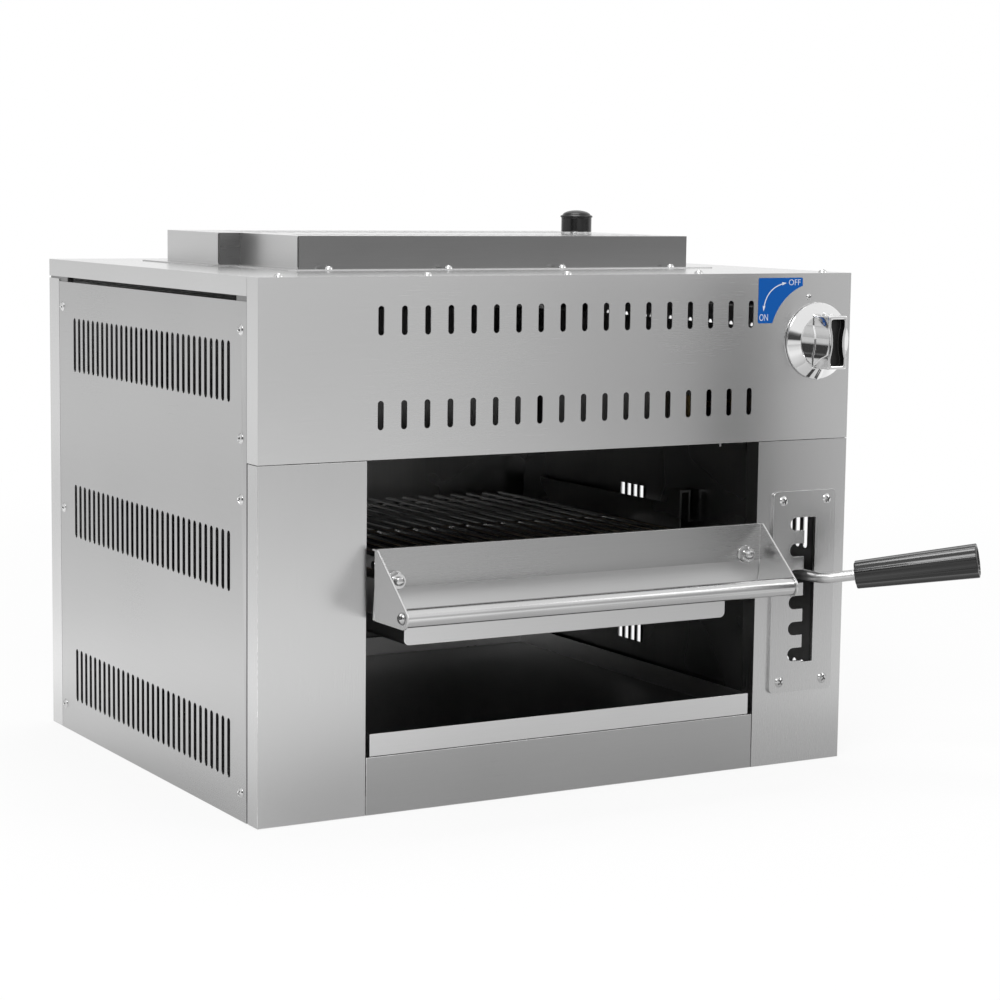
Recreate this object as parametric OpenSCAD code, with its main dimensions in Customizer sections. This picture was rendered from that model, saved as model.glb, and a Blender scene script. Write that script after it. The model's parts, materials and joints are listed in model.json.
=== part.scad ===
// Counter-top gas cheese melter: open front, infrared burners in the hood and a
// rack carriage that a side lever lifts through a notched guide plate.
// Millimetres. +Z up, front towards -Y, +X to the viewer's right, rest plane z = 0.

/* [Casing] */
// overall width of the casing
body_w = 600; // [580:5:680]
// overall depth of the casing
body_d = 480; // [470:5:540]
// height of the casing without the flue cap
body_h = 455; // [450:5:500]
// height of the hood front above the open cavity
hood_h = 152.4; // [150:0.2:160]
// thickness of the casing sheet
sheet = 1.2; // [1:0.1:1.5]
// width of each front column
column_w = 100; // [96:1:110]
// height of the crosspiece under the crumb tray
crosspiece_h = 50; // [44:1:50]
// height of the flue cap above the casing
cap_h = 30; // [24:1:45]

/* [Vents] */
// number of slots in one row of a side panel
side_slots = 31; // [20:1:31]
// spacing of the side slots
side_pitch = 11.85; // [10:0.05:12]
// width of a side slot
side_slot_w = 6.2; // [4:0.1:7]
// length of a side slot
side_slot_l = 51; // [35:1:52]
// number of slots in one row of the hood front
hood_slots = 18; // [12:1:18]
// spacing of the hood slots
hood_pitch = 22.09; // [16:0.01:22.1]
// width of a hood slot
hood_slot_w = 5.6; // [4:0.1:7]
// length of a hood slot
hood_slot_l = 24.6; // [18:0.1:26]

/* [Lift] */
// height of the lever rod in the notch the rack rests in
rest_z = 175.8; // [175.8:0.2:180]
// spacing of the notches in the guide plate
notch_pitch = 24.4; // [22:0.1:24.4]
// number of notches in the guide plate
notch_count = 6; // [5:1:6]
// distance between the pivots of one lift arm
arm_len = 240; // [236:1:244]
// distance between the upper and lower pivots
link_gap = 60; // [50:1:64]
// diameter of the cross shaft that keeps both sides in step
shaft_d = 14; // [12:1:16]
// diameter of the lever rod
rod_d = 10; // [8:0.5:10.5]
// length of the lever grip
grip_l = 112; // [100:1:150]

/* [Rack and trays] */
// number of rods between the two side bars of the rack
rack_rods = 18; // [12:1:19]
// diameter of a rack rod
rack_rod_d = 5; // [4:0.5:6]
// diameter of the rack handle tube
handle_d = 16; // [14:1:18]
// distance of the handle tube in front of the rack plate
handle_reach = 48; // [44:1:60]
// depth of the drip tray
drip_depth = 23.5; // [18:0.5:23.5]
// depth of the crumb tray
crumb_depth = 19.5; // [14:0.5:19.5]

/* [Controls] */
// diameter of the knob skirt
knob_d = 70; // [56:1:72]
// diameter of the threaded gas inlet
inlet_d = 26.4; // [21:0.1:27]

/* [Hidden] */
$fn = 48;

s = sheet;
hw = body_w / 2;
hd = body_d / 2;
wall_x = hw - column_w;                // edge of the open cavity
seam_z = body_h - hood_h;              // lower edge of the hood front
base_h = 18;                           // upstand of the base pan
lip = 18;                              // depth of the lip under the hood
post_t = 2;
post_y = hd - s;                       // faces the front and rear sheets lie on
post_x = hw - s;                       // faces the side sheets lie on
side_front = -(hd - 21.5);
side_back = hd - 26.5;
side_top = body_h - 20.5;
fold_z = body_h - 16;                  // lower edge of the top cover's folds
inner_x = wall_x + s;                  // inner face of a cavity wall
rear_wall_y = hd - 63;
wall_top = body_h - 50;
shelf_z = seam_z + s;
cap_x = hw - 84;                       // right and left edges of the flue cap
cap_y = [-(hd - 147), hd - 93];
cap_step = [22, 121];                  // size of the step in its front left corner
cap_flange = 18;
flue_x = cap_x - 46;
flue_y = [cap_y[0] + 23, cap_y[1] - 22];
cap_z = body_h + cap_h;
stub = [cap_x - 72.5, cap_y[0] + 83];  // gas inlet, seen from above

// burners
box_x = [12, wall_x - 24];
box_y = [-(hd - 54), hd - 94];
box_z = shelf_z + s;
box_top = box_z + 61;
tile_z = [box_z + 11, box_z + 24];
venturi_x = (box_x[0] + box_x[1]) / 2;
gas_z = box_z + 42;
gas_y = hd - 28;

// control
knob_x = hw - 38;
knob_z = body_h - 62;
stem_d = 8;

// lift
pivot_y = hd - 35;
pivot_z = rest_z - notch_pitch / 2 - link_gap / 2;
arm_angle = asin(notch_pitch / 2 / arm_len);
pin_y = pivot_y - arm_len * cos(arm_angle);
pin_z = pivot_z + notch_pitch / 2;
pin_d = 8;
fit = 0.05;                            // radial clearance of a turning fit
coupler_x = wall_x + 6;
coupler_t = 4;
arm_x = wall_x + 12;
arm_t = 5;
bracket_x = wall_x + 19;
bracket_t = 3;

// guide plate and lever
plate_t = 3;
guide_x = hw - column_w / 2 + 2;
guide_w = 71;
guide_z = [rest_z - 108.3, rest_z + 79.7];
slot_w = rod_d + 2.4;
channel_x = guide_x + 6.5;
notch_x = guide_x - 9.5;
channel_z = [rest_z - 80.8, rest_z + 54.7];
lever_y = pin_y - 30.3;
eye_h = rod_d + 0.4;                   // height of the eye that the lever turns on
fork_gap = eye_h / 2 + 0.4;
rest_play = 0.4;                       // the rod hangs this far left of the channel's middle
swing = atan((channel_x - rest_play - notch_x) / (hd + plate_t + lever_y));
bend_r = 20;
bend_y = -(hd + 16.4);
bend_turn = 41.5;                       // how far the lever is bent to the right
tilt = 14.5;                            // and upwards
bare_l = 22;                            // rod between the bend and the grip
grip_grasp = 28;                       // length of rod inside the grip

// rack, carriage and trays, all measured from the lever's height
bar_x = wall_x - 21;
bar_d = 8;
bar_z = rest_z + 26.2;
cross_d = 6;
cross_z = bar_z + bar_d / 2 + cross_d / 2 - 0.6;
rod_z = cross_z + cross_d / 2 + rack_rod_d / 2 - 0.6;
cross_y = [137, -37, -211];
rack_back = rear_wall_y - 17;
rail_x = wall_x - 12;
rail_t = 2;
rail_y = [-124, rear_wall_y - 19];
rail_z = [rest_z - 11.8, rest_z + 56.2];
rack_plate_t = 1.5;
rack_y = -(hd + 11);                   // front face of the rack plate
rack_half = wall_x - 2.5;
rack_z = [rest_z - 7.1, rest_z + 53.2];
crease_z = rest_z + 20.2;
handle_y = rack_y - handle_reach;
handle_z = rest_z + 2.2;
stub_y = [pin_y - 15.3, pin_y + 14.7];
stub_z = [rest_z - 13, rest_z + 13];
drip_x = wall_x - 35;
drip_y = [-(hd + 2), 120];
drip_top = rest_z - 8.8;
crumb_x = wall_x - 4.4;
crumb_z = crosspiece_h + 0.3;

steel = [0.78, 0.78, 0.77];
dark = [0.16, 0.16, 0.17];
bright = [0.88, 0.88, 0.9];
brass = [0.78, 0.6, 0.28];
black = [0.05, 0.05, 0.05];
clay = [0.86, 0.74, 0.6];
blue = [0.1, 0.22, 0.55];

side_screws = [
    for (z = [body_h - 44, body_h - 133.3, rest_z + 95.2, 24]) [-(hd - 33), z],
    for (z = [body_h - 44, 217, 24]) [hd - 35, z]
];
hood_screw_x = [for (i = [-2:2]) i * (hw - 24) / 2];
cap_screw_x = [for (i = [0:3]) cap_x - 25 - 120 * i];
cap_screw_y = [cap_y[0] - cap_flange + 8, cap_y[1] + cap_flange - 8];
under_screw_x = wall_x - 13;
cap_corners = [[-cap_x, cap_y[0] + cap_step[1]], [cap_step[0] - cap_x, cap_y[0]]];
rear_screw_z = [60, 230, body_h - 55];
guide_screws = [for (x = [-24.4, 24.7], z = [10.5, 179.1]) [guide_x + x, guide_z[0] + z]];

// ---------- helpers ----------

module box(lo, hi) {
    translate(lo) cube(hi - lo);
}

// a slab of thickness t from x upwards; the drawing's axes are y and z
module slab_x(x, t) {
    translate([x, 0, 0]) rotate([90, 0, 90]) linear_extrude(t) children();
}

// a slab of thickness t from y backwards; the drawing's axes are x and z
module slab_y(y, t) {
    translate([0, y + t, 0]) rotate([90, 0, 0]) linear_extrude(t) children();
}

// a slab of thickness t from z upwards; the drawing's axes are x and y
module slab_z(z, t) {
    translate([0, 0, z]) linear_extrude(t) children();
}

module rect(lo, hi) {
    translate(lo) square(hi - lo);
}

module round_rect(lo, hi, r) {
    rect([lo[0] + r, lo[1]], [hi[0] - r, hi[1]]);
    rect([lo[0], lo[1] + r], [hi[0], hi[1] - r]);
    for (x = [lo[0] + r, hi[0] - r], y = [lo[1] + r, hi[1] - r]) {
        translate([x, y]) circle(r);
    }
}

// upright slot with round ends, centred
module slot(w, l) {
    square([w, l - w], center = true);
    for (e = [-1, 1]) translate([0, e * (l - w) / 2]) circle(d = w, $fn = 24);
}

// the piece is drawn for the right side, and mirrored for the left
module sided(side) {
    if (side > 0) children();
    else mirror([1, 0, 0]) children();
}

// cylinder from a to b along one of the main axes or any other line
module rod(a, b, r) {
    v = b - a;
    l = norm(v);
    translate(a) rotate([0, acos(v[2] / l), atan2(v[1], v[0])]) cylinder(r = r, h = l);
}

// pan head with its shank, looking along +Z
module screw(r = 4.2, h = 2.4, shank = 3, shank_r = 2) {
    ball = (r * r + h * h) / (2 * h);
    intersection() {
        cylinder(r = r, h = h);
        translate([0, 0, h - ball]) sphere(ball);
    }
    translate([0, 0, -shank]) cylinder(r = shank_r, h = shank + 0.2);
}

// strip with round ends between two points of the y-z drawing
module link2d(a, b, ra, rb) {
    d = b - a;
    l = norm(d);
    n = [-d[1], d[0]] / l;
    w = min(ra, rb) * 0.8;
    u = d / l * min(ra, rb) * 0.3;
    polygon([a + u - n * w, b - u - n * w, b - u + n * w, a + u + n * w]);
    translate(a) circle(ra);
    translate(b) circle(rb);
}

// plan of the flue cap, stepped at its front left corner, grown by g
function cap_plan(g) = let (x = cap_x + g, y = cap_y[1] + g, f = cap_y[0] - g) [
    [-x, y], [x, y], [x, f], [cap_step[0] - x, f], [cap_step[0] - x, f + cap_step[1]],
    [-x, f + cap_step[1]]
];

// point where a line from p touches the circle about c, on its front side
function touch(c, r, p) =
    let (d = p - c, a = atan2(d[1], d[0]) + acos(r / norm(d))) c + r * [cos(a), sin(a)];

// ---------- casing ----------

module base_pan() color(steel) {
    box([-post_x, -post_y, 0], [post_x, post_y, s]);
    for (m = [-1, 1]) {
        sided(m) box([post_x - s, -post_y, 0], [post_x, post_y, base_h]);
        box([-post_x, m * (post_y - s / 2) - s / 2, 0], [post_x, m * (post_y - s / 2) + s / 2, base_h]);
    }
}

module corner_posts() color(dark) {
    top = body_h - 2 * s;
    for (m = [-1, 1]) sided(m) difference() {
        union() {
            box([post_x - post_t, -post_y, base_h], [post_x, -(hd - 44), top]);
            box([post_x - 22, -post_y, base_h], [post_x, -post_y + post_t, top]);
            box([post_x - post_t, hd - 46, base_h], [post_x, post_y, top]);
            box([post_x - 22, post_y - post_t, base_h], [post_x, post_y, top]);
        }
        for (p = side_screws) rod([post_x - 9, p[0], p[1]], [post_x + 1, p[0], p[1]], 2);
        for (z = rear_screw_z) rod([hw - 14, hd - 9, z], [hw - 14, hd, z], 2);
    }
}

module side_panel(side) color(steel) sided(side) {
    slab_x(post_x, s) difference() {
        rect([side_front, 0], [side_back, side_top]);
        for (p = side_screws) translate(p) circle(2);
        for (z = [body_h - 79.5, rest_z + 41, 57.5], i = [0:side_slots - 1]) {
            translate([-4.7 + (i - (side_slots - 1) / 2) * side_pitch, z]) slot(side_slot_w, side_slot_l);
        }
    }
    box([post_x - 14, -hd + 50, side_top - s], [post_x + s / 2, hd - 50, side_top]);
}

module left_side_panel() side_panel(-1);

module right_side_panel() side_panel(1);

module rear_panel() color(steel) {
    slab_y(post_y, s) difference() {
        rect([-hw, 0], [hw, body_h - 18]);
        for (m = [-1, 1], z = rear_screw_z) translate([m * (hw - 14), z]) circle(2);
        for (i = [-8:8]) translate([i * 24, body_h - 80]) slot(6, 40);
    }
    for (m = [-1, 1]) sided(m) box([post_x, hd - 26, 0], [hw, hd - s / 2, body_h - 18]);
}

module top_cover() color(steel) {
    difference() {
        union() {
            box([-hw, side_front, body_h - s], [hw, hd, body_h]);
            box([-hw, post_y, fold_z], [hw, hd, body_h - s / 2]);
            box([-hw + 10, -hd + 4, body_h - 2 * s], [hw - 10, side_front + 14, body_h - s]);
            for (m = [-1, 1]) sided(m) box([post_x, side_front, fold_z], [hw, hd, body_h - s / 2]);
        }
        box([-flue_x, flue_y[0], body_h - 9], [flue_x, flue_y[1], body_h + 9]);
        for (x = hood_screw_x) translate([x, -hd + 12, body_h - 9]) cylinder(r = 2, h = 18);
        for (x = cap_screw_x, y = cap_screw_y) translate([x, y, body_h - 9]) cylinder(r = 2, h = 18);
    }
}

module flue_cap() color(steel) {
    difference() {
        union() {
            slab_z(body_h, cap_h) polygon(cap_plan(0));
            slab_z(body_h, s) polygon(cap_plan(cap_flange));
        }
        slab_z(body_h - 1, cap_h + 1 - s) polygon(cap_plan(-s));
        translate([stub[0], stub[1], cap_z - 9]) cylinder(d = inlet_d + 1, h = 18);
        for (x = cap_screw_x, y = cap_screw_y) translate([x, y, body_h - 1]) cylinder(r = 2, h = 9);
        for (c = cap_corners) translate([c[0], c[1], body_h + 2 * s])
            translate([-0.1, -0.1, 0]) cube([s + 0.2, s + 0.2, cap_h - 3 * s]);
        slab_z(cap_z - 9, 18) for (i = [0:21]) {
            translate([(i / 21 * 2.1 - 1) * flue_x, flue_y[0] + 18]) slot(5, 40);
            translate([(i / 21 * 2.1 - 1) * flue_x, flue_y[1] - 50]) slot(5, 80);
        }
    }
}

module front_hood() color(steel) {
    difference() {
        union() {
            slab_y(-hd, s) rect([-hw, seam_z], [hw, body_h]);
            box([-hw, -hd, body_h - s], [hw, side_front - 0.4, body_h]);
            box([-hw + 26, -hd + s / 2, seam_z], [hw - 26, -hd + lip, seam_z + s]);
            for (m = [-1, 1]) sided(m) box([post_x, -hd, seam_z], [hw, side_front - 0.4, body_h]);
        }
        slab_y(-hd - 1, s + 2) {
            for (r = [0, 1], i = [0:hood_slots - 1]) {
                translate([(i - (hood_slots - 1) / 2) * hood_pitch, body_h - 36.5 - 78.9 * r])
                    slot(hood_slot_w, hood_slot_l);
            }
            translate([knob_x, knob_z]) circle(6.5);
            translate([guide_x, body_h - 21.6]) circle(2);
        }
        for (x = hood_screw_x) translate([x, -hd + 12, body_h - 9]) cylinder(r = 2, h = 18);
        for (m = [-1, 1]) translate([m * under_screw_x, -hd + 10, seam_z - 4]) cylinder(r = 2, h = 12);
    }
}

module column(side) {
    slab_y(-hd, s) difference() {
        rect([wall_x, 0], [hw, seam_z - 0.6]);
        if (side > 0) {
            rect([guide_x - 21, channel_z[0] - 7], [guide_x + 19, channel_z[1] + 8]);
            for (p = guide_screws) translate(p) circle(2);
        }
    }
    box([post_x, -hd, 0], [hw, -hd + 20, seam_z - 0.6]);
    box([wall_x, -hd + s / 2, base_h], [wall_x + s, -hd + 18, seam_z - 0.6]);
}

module left_front_column() color(steel) sided(-1) column(-1);

module right_front_column() color(steel) column(1);

module front_crosspiece() color(steel) {
    x = wall_x - 0.6;
    box([-x, -hd, 0], [x, -hd + s, crosspiece_h]);
    box([-x, -hd, crosspiece_h - s], [x, -hd + 34, crosspiece_h]);
}

module inner_wall(side) {
    slab_x(inner_x, s) difference() {
        rect([-hd + 4, s], [rear_wall_y + s, wall_top]);
        rect([stub_y[0] - 4, rest_z - 89.8], [stub_y[1] + 12, rest_z + 65.2]);
        rect([-hd, seam_z - 0.3], [-hd + lip + 0.4, seam_z + s + 0.3]);
        if (side > 0) translate([-hd + 35, box_z + 30]) circle(4);
    }
}

module left_inner_wall() color(dark) sided(-1) inner_wall(-1);

module right_inner_wall() color(dark) inner_wall(1);

module rear_inner_wall() color(dark) {
    slab_y(rear_wall_y, s) difference() {
        rect([-inner_x, s], [inner_x, wall_top]);
        for (m = [-1, 1]) translate([m * venturi_x, gas_z]) circle(17);
    }
}

module crumb_tray_runners() color(dark) {
    for (m = [-1, 1]) sided(m) {
        box([wall_x - 14, -hd + 36, crosspiece_h - 1.5], [inner_x, rear_wall_y - 7, crosspiece_h]);
        box([inner_x - 1.5, -hd + 36, crosspiece_h - 20], [inner_x, rear_wall_y - 7, crosspiece_h]);
    }
}

// ---------- burners and gas line ----------

module burner_shelf() color(dark) {
    difference() {
        union() {
            box([-inner_x, -hd + 4, shelf_z], [inner_x, rear_wall_y, shelf_z + s]);
            for (m = [-1, 1]) sided(m) {
                box([inner_x - s, -hd + 60, shelf_z], [inner_x, rear_wall_y, shelf_z + 15]);
            }
        }
        for (m = [-1, 1]) {
            sided(m) box([box_x[0], box_y[0], shelf_z - 1], [box_x[1], box_y[1], shelf_z + 9]);
            translate([m * under_screw_x, -hd + 10, shelf_z - 1]) cylinder(r = 2, h = 9);
        }
    }
}

module burner_box(side) color(steel) sided(side) {
    t = 1.5;
    difference() {
        union() {
            box([box_x[0], box_y[0], box_z], [box_x[1], box_y[1], box_top]);
            box([box_x[0] - 8, box_y[0] - 8, box_z], [box_x[1] + 8, box_y[1] + 8, box_z + t]);
            rod([venturi_x, box_y[1] - 1, gas_z], [venturi_x, gas_y - 22, gas_z], 16);
        }
        box([box_x[0] + t, box_y[0] + t, box_z - 1], [box_x[1] - t, box_y[1] - t, tile_z[0] - t]);
        box([box_x[0] + 7, box_y[0] + 7, box_z - 1], [box_x[1] - 7, box_y[1] - 7, tile_z[0] + 1]);
        box([box_x[0] + t, box_y[0] + t, tile_z[0]], [box_x[1] - t, box_y[1] - t, box_top - t]);
        rod([venturi_x, box_y[1] - 9, gas_z], [venturi_x, gas_y - 21, gas_z], 14);
    }
}

module left_burner_box() burner_box(-1);

module right_burner_box() burner_box(1);

// two columns of three ceramic tiles in each box
module burner_tiles() color(clay) {
    x0 = box_x[0] + 1.5;
    y0 = box_y[0] + 1.5;
    w = (box_x[1] - box_x[0] - 3) / 2;
    d = (box_y[1] - box_y[0] - 3) / 3;
    for (m = [-1, 1]) sided(m) for (i = [0, 1], j = [0:2]) {
        lo = [x0 + i * w, y0 + j * d, tile_z[0]];
        box(lo, lo + [w - 0.4, d - 0.4, tile_z[1] - tile_z[0]]);
    }
}

// wires below the tiles that stop food from touching them
module burner_guards() color(bright) {
    z = box_z + 5;
    for (m = [-1, 1]) sided(m) {
        for (i = [1:6]) {
            x = box_x[0] + 1.5 + i * (box_x[1] - box_x[0] - 3) / 7;
            rod([x, box_y[0] + 1.5, z], [x, box_y[1] - 1.5, z], 1.5);
        }
        for (y = [box_y[0] + 60, (box_y[0] + box_y[1]) / 2, box_y[1] - 60]) {
            rod([box_x[0] + 1.5, y, z + 2.4], [box_x[1] - 1.5, y, z + 2.4], 1.5);
        }
    }
}

// pipe of round section through a list of points, with ball elbows
module pipe(points, r) {
    for (i = [0:len(points) - 2]) rod(points[i], points[i + 1], r);
    for (i = [1:len(points) - 2]) translate(points[i]) sphere(r * 1.15);
}

module gas_manifold() color(steel) {
    difference() {
        union() {
            pipe([[-venturi_x - 14, gas_y, gas_z], [knob_x, gas_y, gas_z],
                  [knob_x, gas_y, knob_z], [knob_x, -hd + 50, knob_z]], 8);
            for (m = [-1, 1]) box([m * 30 - 4, gas_y + 5, gas_z - 5], [m * 30 + 4, post_y, gas_z + 5]);
        }
        for (m = [-1, 1]) rod([m * venturi_x, gas_y - 12, gas_z], [m * venturi_x, gas_y, gas_z], 4);
    }
}

module burner_injectors() color(brass) {
    for (m = [-1, 1]) translate([m * venturi_x, gas_y - 8.2, gas_z]) rotate([90, 0, 0]) {
        cylinder(r = 6, h = 8, $fn = 6);
        translate([0, 0, 8]) cylinder(r1 = 4, r2 = 2, h = 4);
        translate([0, 0, -8]) cylinder(r = 4, h = 8.2);
    }
}

module gas_valve() color(brass) {
    difference() {
        union() {
            rod([knob_x, -post_y, knob_z], [knob_x, -hd + 15, knob_z], 11);
            box([knob_x - 22, -hd + 14, knob_z - 21], [knob_x + 14, -hd + 50, knob_z + 19]);
        }
        rod([knob_x, -hd - 1, knob_z], [knob_x, -hd + 30, knob_z], stem_d / 2 + fit);
    }
}

module gas_supply_pipe() color(steel) {
    z = knob_z + 35;
    rod([stub[0], stub[1], z + 10], [stub[0], stub[1], cap_z + 14], inlet_d / 2);
    pipe([[stub[0], stub[1], z + 11], [stub[0], stub[1], z], [knob_x, stub[1], z],
          [knob_x, -hd + 32, z], [knob_x, -hd + 32, knob_z + 19]], 9);
}

// transit cap over the threaded inlet
module gas_inlet_cap() color(black) {
    r = inlet_d / 2;
    translate([stub[0], stub[1], cap_z]) difference() {
        union() {
            cylinder(r = r + 1.6, h = 2.5);
            cylinder(r = r + 1.4, h = 17);
            translate([0, 0, 16]) cylinder(r = r + 2.4, h = 2.4);
            intersection() {
                translate([0, 0, 18]) cylinder(r = r, h = 5);
                translate([0, 0, 23 - 20]) sphere(20);
            }
        }
        translate([0, 0, -1]) cylinder(r = r, h = 15);
    }
}

module pilot_burner() color(brass) {
    y = -hd + 35;
    z = box_z + 30;
    x = box_x[1] - 34;
    pipe([[knob_x - 12, y, knob_z - 21], [knob_x - 12, y, z], [x + 8, y, z]], 3);
    box([x, y - 5, z - 5], [x + 9, y + 5, z + 9]);
    box([x, y - 5, box_z], [x + 2, y + 5, z]);
}

// ---------- guide plate, label and fasteners ----------

module guide_plate() color(steel) {
    slab_y(-hd - plate_t, plate_t) difference() {
        round_rect([guide_x - guide_w / 2, guide_z[0]], [guide_x + guide_w / 2, guide_z[1]], 5);
        rect([channel_x - slot_w / 2, channel_z[0]], [channel_x + slot_w / 2, channel_z[1]]);
        for (i = [0:notch_count - 1]) {
            z = rest_z + (2 - i) * notch_pitch;
            rect([notch_x, z - slot_w / 2], [channel_x, z + slot_w / 2]);
            translate([notch_x, z]) circle(d = slot_w);
        }
        for (p = guide_screws) translate(p) circle(2);
    }
}

module guide_plate_screws() color(bright) {
    for (p = guide_screws) {
        translate([p[0], -hd - plate_t, p[1]]) rotate([90, 0, 0]) screw(r = 4.9, shank = plate_t + s);
    }
}

module side_panel_screws() color(bright) {
    for (m = [-1, 1], p = side_screws) {
        sided(m) translate([hw, p[0], p[1]]) rotate([0, 90, 0]) screw(shank = 6);
    }
}

module hood_screws() color(bright) {
    for (x = hood_screw_x) translate([x, -hd + 12, body_h]) screw(h = 3.2, shank = 4);
    for (m = [-1, 1]) translate([m * under_screw_x, -hd + 10, seam_z]) rotate([180, 0, 0]) screw(shank = 4);
    translate([guide_x, -hd, body_h - 21.6]) rotate([90, 0, 0]) screw(r = 2.6, h = 1.4, shank = 4);
    translate([wall_x - 36, -hd + 10, seam_z - 4.4]) cylinder(r = 1.3, h = 4.4);
}

module flue_cap_screws() color(bright) {
    for (x = cap_screw_x, y = cap_screw_y) translate([x, y, body_h + s]) screw(h = 3.2, shank = 5);
}

module rear_panel_screws() color(bright) {
    for (m = [-1, 1], z = rear_screw_z) {
        translate([m * (hw - 14), hd, z]) rotate([-90, 0, 0]) screw(shank = 6);
    }
}

module knob_label() color(blue) {
    slab_y(-hd - 0.4, 0.4) difference() {
        round_rect([knob_x - 66.5, knob_z + 17], [knob_x - 17.5, knob_z + 58], 1.5);
        translate([knob_x, knob_z]) circle(knob_d / 2 + 18.5);
    }
}

// ---------- parallelogram lift ----------

module pivot_bracket(side) color(dark) sided(side) {
    difference() {
        union() {
            slab_x(bracket_x, bracket_t) difference() {
                rect([hd - 50, pivot_z - 18.6], [post_y, pivot_z + link_gap + 18.4]);
                translate([pivot_y, pivot_z]) circle(shaft_d / 2 + fit);
            }
            box([bracket_x, post_y - 2, pivot_z - 18.6],
                [bracket_x + 26, post_y, pivot_z + link_gap + 18.4]);
        }
    }
    z = pivot_z + link_gap;
    rod([arm_x - 0.5, pivot_y, z], [bracket_x + 0.5, pivot_y, z], pin_d / 2);
    rod([arm_x - 2.5, pivot_y, z], [arm_x - 0.4, pivot_y, z], 6.5);
}

module left_pivot_bracket() pivot_bracket(-1);

module right_pivot_bracket() pivot_bracket(1);

module lift_shaft() color(bright) {
    x = bracket_x + bracket_t;
    r = shaft_d / 2;
    rod([-x - 4, pivot_y, pivot_z], [x + 4, pivot_y, pivot_z], r);
    for (m = [-1, 1]) sided(m) rod([x + 0.4, pivot_y, pivot_z], [x + 2.4, pivot_y, pivot_z], r + 2.5);
}

module lift_arm(side) color(dark) sided(side) {
    slab_x(arm_x, arm_t) difference() {
        link2d([pivot_y, pivot_z], [pin_y, pin_z], shaft_d / 2 + 7, 11);
        translate([pivot_y, pivot_z]) circle(shaft_d / 2);
        translate([pin_y, pin_z]) circle(pin_d / 2 + fit);
    }
}

module left_lift_arm() lift_arm(-1);

module right_lift_arm() lift_arm(1);

module follower_link(side) color(dark) sided(side) {
    slab_x(arm_x, arm_t) difference() {
        link2d([pivot_y, pivot_z + link_gap], [pin_y, pin_z + link_gap], 11, 11);
        for (p = [[pivot_y, pivot_z], [pin_y, pin_z]]) {
            translate([p[0], p[1] + link_gap]) circle(pin_d / 2 + fit);
        }
    }
}

module left_follower_link() follower_link(-1);

module right_follower_link() follower_link(1);

module carriage_rail(side) color(dark) sided(side) {
    y = rail_y[0];
    l = rail_y[1];
    difference() {
        union() {
            box([rail_x, y, rail_z[0]], [rail_x + rail_t, l, rail_z[1]]);
            box([rail_x - 20, y, rail_z[0]], [rail_x + 1, l, rail_z[0] + 1.5]);
            box([rail_x - 16, y, bar_z - bar_d / 2 - 1.8], [rail_x + 1, l, bar_z - bar_d / 2 - 0.3]);
        }
        rod([rail_x - 1, y + 4, rail_z[1] - 7], [rail_x + 5, y + 4, rail_z[1] - 7], 2.5);
    }
}

module left_carriage_rail() carriage_rail(-1);

module right_carriage_rail() carriage_rail(1);

module carriage_crossbar() color(dark) {
    box([-rail_x, rail_y[1] - 2, rest_z - 6], [rail_x, rail_y[1], rest_z + 16]);
    box([-rail_x, rail_y[1] - 14, rest_z - 6], [rail_x, rail_y[1], rest_z - 4.5]);
}

// plate outside the cavity wall, with the stub that reaches through the wall's window
module coupler(side) {
    x = coupler_x;
    y = [pin_y, pin_z];
    slab_x(x, coupler_t) {
        translate([pin_y, pin_z]) circle(13);
        translate([pin_y, pin_z + link_gap]) circle(13);
        rect([pin_y - 13, pin_z], [pin_y + 13, pin_z + link_gap]);
        rect([side > 0 ? lever_y - 15 : stub_y[0], stub_z[0]], [pin_y, stub_z[1] - 1]);
    }
    difference() {
        box([rail_x + rail_t, stub_y[0], stub_z[0]], [x, stub_y[1], stub_z[1]]);
        box([rail_x, stub_y[0] + 2, stub_z[0] + 2], [x - 2, stub_y[1] - 2, stub_z[1] - 2]);
    }
    for (z = [pin_z, pin_z + link_gap]) {
        rod([x + 1, pin_y, z], [arm_x + arm_t + 1.5, pin_y, z], pin_d / 2);
        rod([arm_x + arm_t + 0.5, pin_y, z], [arm_x + arm_t + 2.5, pin_y, z], 6.5);
    }
}

module left_coupler() color(dark) sided(-1) coupler(-1);

module right_coupler() color(dark) {
    coupler(1);
    for (z = [rest_z - fork_gap - 3, rest_z + fork_gap]) slab_z(z, 3) difference() {
        union() {
            rect([coupler_x + 1, lever_y - 11], [notch_x, lever_y + 11]);
            translate([notch_x, lever_y]) circle(11);
        }
        translate([notch_x, lever_y]) circle(3.9);
    }
    pin = fork_gap + 5.5;
    rod([notch_x, lever_y, rest_z - pin], [notch_x, lever_y, rest_z + pin], pin_d / 2);
}

// straps at the front ends of the rails that hold the rack's side bars down
module rack_keepers() color(dark) {
    y = rail_y[0] - 14;
    l = rail_y[0] + 8;
    z = rail_z[1] + 15;
    for (m = [-1, 1]) sided(m) {
        box([rail_x - 4, y, bar_z + 4.6], [rail_x - 2, l, z]);
        box([rail_x - 7.5, y, bar_z + 4.6], [rail_x - 2, l, bar_z + 6.2]);
        box([rail_x - 4, y, z - 2], [rail_x + 8, l, z]);
        box([rail_x + 6, y, z - 30], [rail_x + 8, l, z]);
        box([rail_x + 6, y, z - 30], [rail_x + 11, l, z - 28]);
        rod([rail_x - 3, rail_y[0] + 4, rail_z[1] - 7], [rail_x + 7, rail_y[0] + 4, rail_z[1] - 7], 2.5);
    }
}

// ---------- lever ----------

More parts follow.
